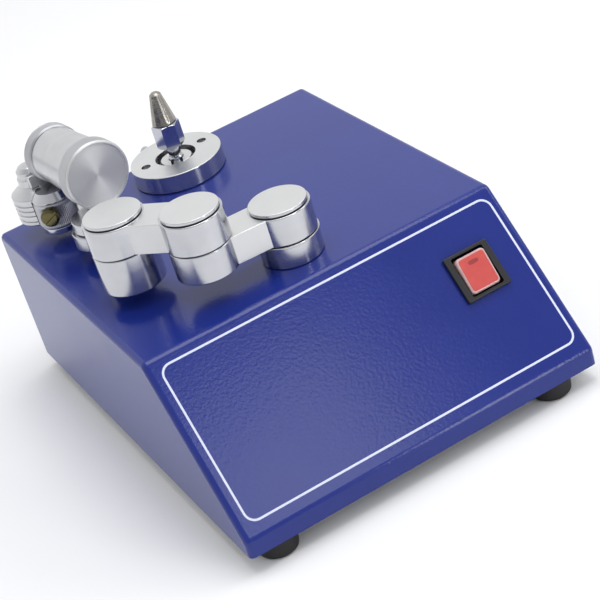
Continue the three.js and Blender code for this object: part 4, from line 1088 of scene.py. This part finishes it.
pedestal_low = coords("head_pedestal")[:, 2].min()
neck_place = head_origin + HEAD_X * 4.8 * MM + HEAD_Y * 11 * MM
FOOT_R, NECK_R = 14 * MM, 9.5 * MM
foot_top, neck_low, neck_top = pedestal_low + 6 * MM, pedestal_low + MM, tilt_pivot[2]
foot_profile = filleted(
    [(0, pedestal_low, 0), (FOOT_R, pedestal_low, 0.5 * MM), (FOOT_R, foot_top, 0.5 * MM), (0, foot_top, 0)])
neck_profile = filleted([(0, neck_low, 0), (NECK_R, neck_low, 0), (NECK_R, neck_top, 0), (0, neck_top, 0)])
pedestal = turned("guide_pedestal", foot_profile, head_origin, sides=120)
pedestal = joined(pedestal, turned("neck", neck_profile, neck_place, sides=96), how="UNION")
pedestal = joined(
    pedestal,
    turned("seat", drum_profile(0.3 * MM), tilt_pivot, HEAD_Y, 144),
    drill(PIN_HOLE, head_origin + UP * (pedestal_low + 2 * MM), UP, 14.6 * MM, 48),
)
fit(pedestal, "head", satin_turned, "satin_aluminium", "head_pedestal")

knob_from, knob_to, knob_radius = reach("tilt_knob", tilt_pivot, HEAD_Y)
knob_side = [(knob_radius, h) for h in rows(knob_from + 1.5 * MM, knob_to - 0.7 * MM, 14)]
knob_profile = np.vstack([
    [(0, knob_from + 0.5 * MM)],
    filleted([
        (2 * MM, knob_from + 0.5 * MM, 0),
        (knob_radius - 1.8 * MM, knob_from + 0.5 * MM, 0.2 * MM),
        (knob_radius - 1.5 * MM, knob_from, 0.1 * MM),
        (knob_radius - 0.9 * MM, knob_from, 0.2 * MM),
        (knob_radius - 0.12 * MM, knob_from + 1.0 * MM, 0),
    ]),
    knob_side,
    [(knob_radius - 0.5 * MM, knob_to), (0, knob_to)],
])
KNOB_TEETH = 110
fine_knurl = straight_knurl(KNOB_TEETH, 0.16 * MM, knob_from + 1.5 * MM, knob_to - 0.7 * MM)
knob = turned("tilt_knob_turned", knob_profile, tilt_pivot, HEAD_Y, KNOB_TEETH * 4, relief=fine_knurl)
knob = joined(knob, drill(SHAFT_HOLE, tilt_pivot + HEAD_Y * (knob_to - MM), HEAD_Y, 10 * MM, 48))
# The knob's face shows the broad bow-tie glint of a faced disc, and its rim the dull look of a
# fine knurl. The face's colour is painted near white, lighter than the rim's, as a painted highlight
# on top of the faced finish's own glint.
face_metal_painted_highlight = lathe_metal("faced_aluminium_painted_highlight", ("#ececeb", "#f3f3f1"), 0.7, 0.75, 70.0, 0.003 * MM)
rim_metal = blasted_metal("knurled_matt_aluminium", ("#b2b3b7", "#c4c5c8"), 0.4, 0.4 * MM, 0.02 * MM)
fit(knob, "tilt", rim_metal, "turned_aluminium", "tilt_knob")
face_finish(knob, face_metal_painted_highlight, HEAD_Y, 0.6)

disc_from, disc_to, disc_radius = reach("index_disc", tilt_pivot, HEAD_Y)
DISC_TEETH = 78
DIAMOND = 2 * math.pi * disc_radius / DISC_TEETH


def diamond_knurl(turn, height):
    """Relief of crossed helical grooves: the deeper of two triangle waves, fading at the ends."""
    around = turn * DISC_TEETH / (2 * math.pi)
    climb = (height - disc_from) / DIAMOND
    one = np.abs((around + climb) % 1 * 2 - 1)
    other = np.abs((around - climb) % 1 * 2 - 1)
    ends = np.clip(np.minimum(height - disc_from - 1.1 * MM, disc_to - 0.9 * MM - height) / (0.3 * MM), 0, 1)
    return -0.3 * MM * np.maximum(one, other) * ends


disc_profile = [(SHAFT_HOLE, disc_from)]
disc_profile += [(disc_radius - 1.1 * MM, disc_from), (disc_radius - 0.9 * MM, disc_from)]
disc_profile += [(disc_radius, h) for h in rows(disc_from + 0.9 * MM, disc_to - 0.7 * MM, 36)]
disc_profile += [(disc_radius - 0.6 * MM, disc_to), (SHAFT_HOLE, disc_to)]
disc = turned(
    "index_disc_knurled", disc_profile, tilt_pivot, HEAD_Y, DISC_TEETH * 6, ring=True, relief=diamond_knurl)
fit(disc, "tilt", rim_metal, "turned_aluminium", "index_disc")


# ---------------------------------------------------------------------------------------------
# Chuck carrier. A block turned with three grooves and a conical shoulder, joined to the boss that
# holds the chuck and to a round plate behind the disc, which one hexagon screw holds on.
# ---------------------------------------------------------------------------------------------
chuck_place = np.array(joint["chuck_turn"]["pos_m"])
chuck_pivot = np.array([chuck_place[0], chuck_place[1], 0])
block_pivot = head_origin - HEAD_X * 7.8 * MM + HEAD_Y * 54.3 * MM
BLOCK_R, GROOVE_R, GROOVE_HALF, GROOVE_SIDE = 13.8, 13.0, 0.55, 0.3


def above_deck(*pairs):
    """Profile corners given in millimetres, with heights counted from the top face."""
    return [(r * MM, TOP + h * MM, f * MM) for r, h, f in pairs]


grooves = []
for height in (13.4, 16.8, 19.7, 22.6):
    low, high = height - GROOVE_HALF, height + GROOVE_HALF
    grooves += [(BLOCK_R, low - GROOVE_SIDE, 0.1), (GROOVE_R, low, 0.2)]
    grooves += [(GROOVE_R, high, 0.2), (BLOCK_R, high + GROOVE_SIDE, 0.1)]
shoulder = [(BLOCK_R, 25.9, 0.8), (7.6, 30.5, 0.8), (7.6, 34.5, 0.2), (6.8, 34.9, 0.2)]
button = [(6.8, 38.6, 0.5), (5, 40.8, 0.8), (2, 41.6, 0), (0, 41.6, 0)]
block_profile = filleted(
    above_deck((0, 10, 0), (12.8, 10, 0.2), (BLOCK_R, 11, 0.3), *grooves, *shoulder, *button))
carrier = painted(turned("carrier", block_profile, block_pivot, sides=132), satin_turned)
PLATE_FROM, PLATE_TO = 45.5 * MM, 51.7 * MM
PLATE_R = 12 * MM
boss_profile = filleted(
    above_deck((0, 24.9, 0), (12, 24.9, 0.2), (12, 25.7, 0.3), (8.6, 29.5, 0.4), (0, 29.5, 0)))
boss = turned("boss", boss_profile, chuck_pivot, sides=120)
plate_profile = filleted(
    [(0, PLATE_FROM, 0), (PLATE_R, PLATE_FROM, 0.3 * MM), (PLATE_R, PLATE_TO, 0.6 * MM), (0, PLATE_TO, 0)])
plate = turned("plate", plate_profile, tilt_pivot, HEAD_Y, 96)


def brick(low, high, edge):
    """A block with rounded edges between two corners, in the guide head's own frame and in
    millimetres; heights count from the top face."""
    low, high = np.array(low) * MM, np.array(high) * MM
    middle, half = (low + high) / 2, (high - low) / 2
    place = head_origin + HEAD_X * middle[0] + HEAD_Y * middle[1] + UP * TOP
    outline = rectangle(half[0], half[1], edge)
    return painted(slab("brick", outline, low[2], high[2], edge, place, HEAD_AXES), satin)


web = brick((-7.8, 45.5, 28.5), (10.8, 51.7, 45.6), 0.5 * MM)
bridge = brick((-12.8, 45.5, 30.5), (-2.8, 54.3, 37.6), 0.8 * MM)
carrier = joined(
    carrier, painted(boss, bright_turned), painted(plate, satin_turned), web, bridge, how="UNION")
carrier = joined(
    carrier,
    drill(12.4 * MM, chuck_pivot + UP * (TOP + 4.9 * MM), UP, 40 * MM, 120),
    drill(7.3 * MM, chuck_pivot + UP * (TOP + 8 * MM), UP, 40 * MM, 64),
    drill(SHAFT_HOLE, tilt_pivot + HEAD_Y * PLATE_TO, HEAD_Y, 30 * MM, 48),
)
fit(carrier, "tilt", None, "turned_aluminium", "chuck_carrier")


# ---------------------------------------------------------------------------------------------
# Chuck. The gripping sleeve has a straight knurl rolled into it, the nose ring is polished, and
# a slotted screw of dark brass clamps the instrument's handle.
# ---------------------------------------------------------------------------------------------
sleeve_low, sleeve_high, sleeve_radius = reach("chuck_sleeve", chuck_pivot, UP)
SLEEVE_TOP = TOP + 24.5 * MM
SLEEVE_BORE, SPIGOT_UP = 4.7 * MM, 7 * MM
BORE_TOP = TOP + 26.1 * MM
SLEEVE_TEETH = 72
grip_from, grip_to = sleeve_low + 1.2 * MM, SLEEVE_TOP - 1.4 * MM
sleeve_profile = [(0, BORE_TOP), (SLEEVE_BORE, BORE_TOP), (SLEEVE_BORE, sleeve_low)]
sleeve_profile += [(sleeve_radius - 0.7 * MM, sleeve_low), (sleeve_radius - 0.1 * MM, sleeve_low + 0.6 * MM)]
sleeve_profile += [(sleeve_radius, h) for h in rows(grip_from, grip_to, 16)]
sleeve_profile += [(sleeve_radius - 0.05 * MM, SLEEVE_TOP - 0.7 * MM), (sleeve_radius - 0.6 * MM, SLEEVE_TOP)]
sleeve_profile += [(SPIGOT_UP, SLEEVE_TOP), (SPIGOT_UP, sleeve_high), (0, sleeve_high)]
coarse_knurl = straight_knurl(SLEEVE_TEETH, 0.45 * MM, grip_from, grip_to, 0.5 * MM)
sleeve = turned(
    "chuck_sleeve_knurled", sleeve_profile, chuck_pivot, sides=SLEEVE_TEETH * 6, relief=coarse_knurl)
clamp_axis = np.array(joint["clamp_turn"]["axis"])
clamp_place = np.array(joint["clamp_turn"]["pos_m"])
clamp_pivot = np.array([chuck_pivot[0], chuck_pivot[1], clamp_place[2]])
sleeve = joined(sleeve, drill(2.5 * MM, clamp_pivot + clamp_axis * 11 * MM, clamp_axis, 18 * MM, 40))
fit(sleeve, "chuck", rim_metal, "turned_aluminium", "chuck_sleeve")

nose_low, nose_high, nose_radius = reach("nose_ring", chuck_pivot, UP)
nose_profile = filleted(
    [
        (SLEEVE_BORE, nose_low, 0.3 * MM),
        (nose_radius, nose_low, 0.6 * MM),
        (nose_radius, nose_high, 0.4 * MM),
        (SLEEVE_BORE, nose_high, 0),
    ],
    closed=True,
)
nose = turned("chuck_nose_ring", nose_profile, chuck_pivot, sides=128, ring=True)
fit(nose, "chuck", chrome, "bright_chrome", "nose_ring")

clamp_from, clamp_to, clamp_radius = reach("clamp_screw", clamp_pivot, clamp_axis)
HEAD_FROM, STEM_R = 12.4 * MM, 2.2 * MM
CLAMP_TEETH = 30
clamp_profile = [(0, clamp_from), (STEM_R, clamp_from), (STEM_R, HEAD_FROM)]
clamp_profile += [(clamp_radius - 0.5 * MM, HEAD_FROM)]
clamp_profile += [(clamp_radius, h) for h in rows(HEAD_FROM + 0.6 * MM, clamp_to - 0.9 * MM, 8)]
clamp_profile += [
    (clamp_radius - 0.7 * MM, clamp_to - 0.15 * MM), (clamp_radius - 1.1 * MM, clamp_to), (0, clamp_to)]
clamp_knurl = straight_knurl(CLAMP_TEETH, 0.25 * MM, HEAD_FROM + 0.6 * MM, clamp_to - 0.9 * MM)
clamp = turned(
    "clamp_screw_slotted", clamp_profile, clamp_pivot, clamp_axis, CLAMP_TEETH * 6, relief=clamp_knurl)
clamp_side = np.cross(UP, clamp_axis)
SLOT_LEAN = math.radians(35)
slot_along = clamp_side * math.cos(SLOT_LEAN) + UP * math.sin(SLOT_LEAN)
slot_axes = (slot_along, np.cross(clamp_axis, slot_along), clamp_axis)
slot_place = clamp_pivot + clamp_axis * clamp_to
clamp = joined(clamp, cutter(8 * MM, 0.65 * MM, 0.05 * MM, slot_place, slot_axes, 2.6 * MM))
# Dark brass is tarnished nearly to brown, and shines only where the turned edge is rubbed.
brass = lathe_metal("dark_brass", ("#4c4730", "#78714f"), 0.22, 0.4, 40.0, 0.006 * MM)
fit(clamp, "clamp", brass, "dark_brass", "clamp_screw")
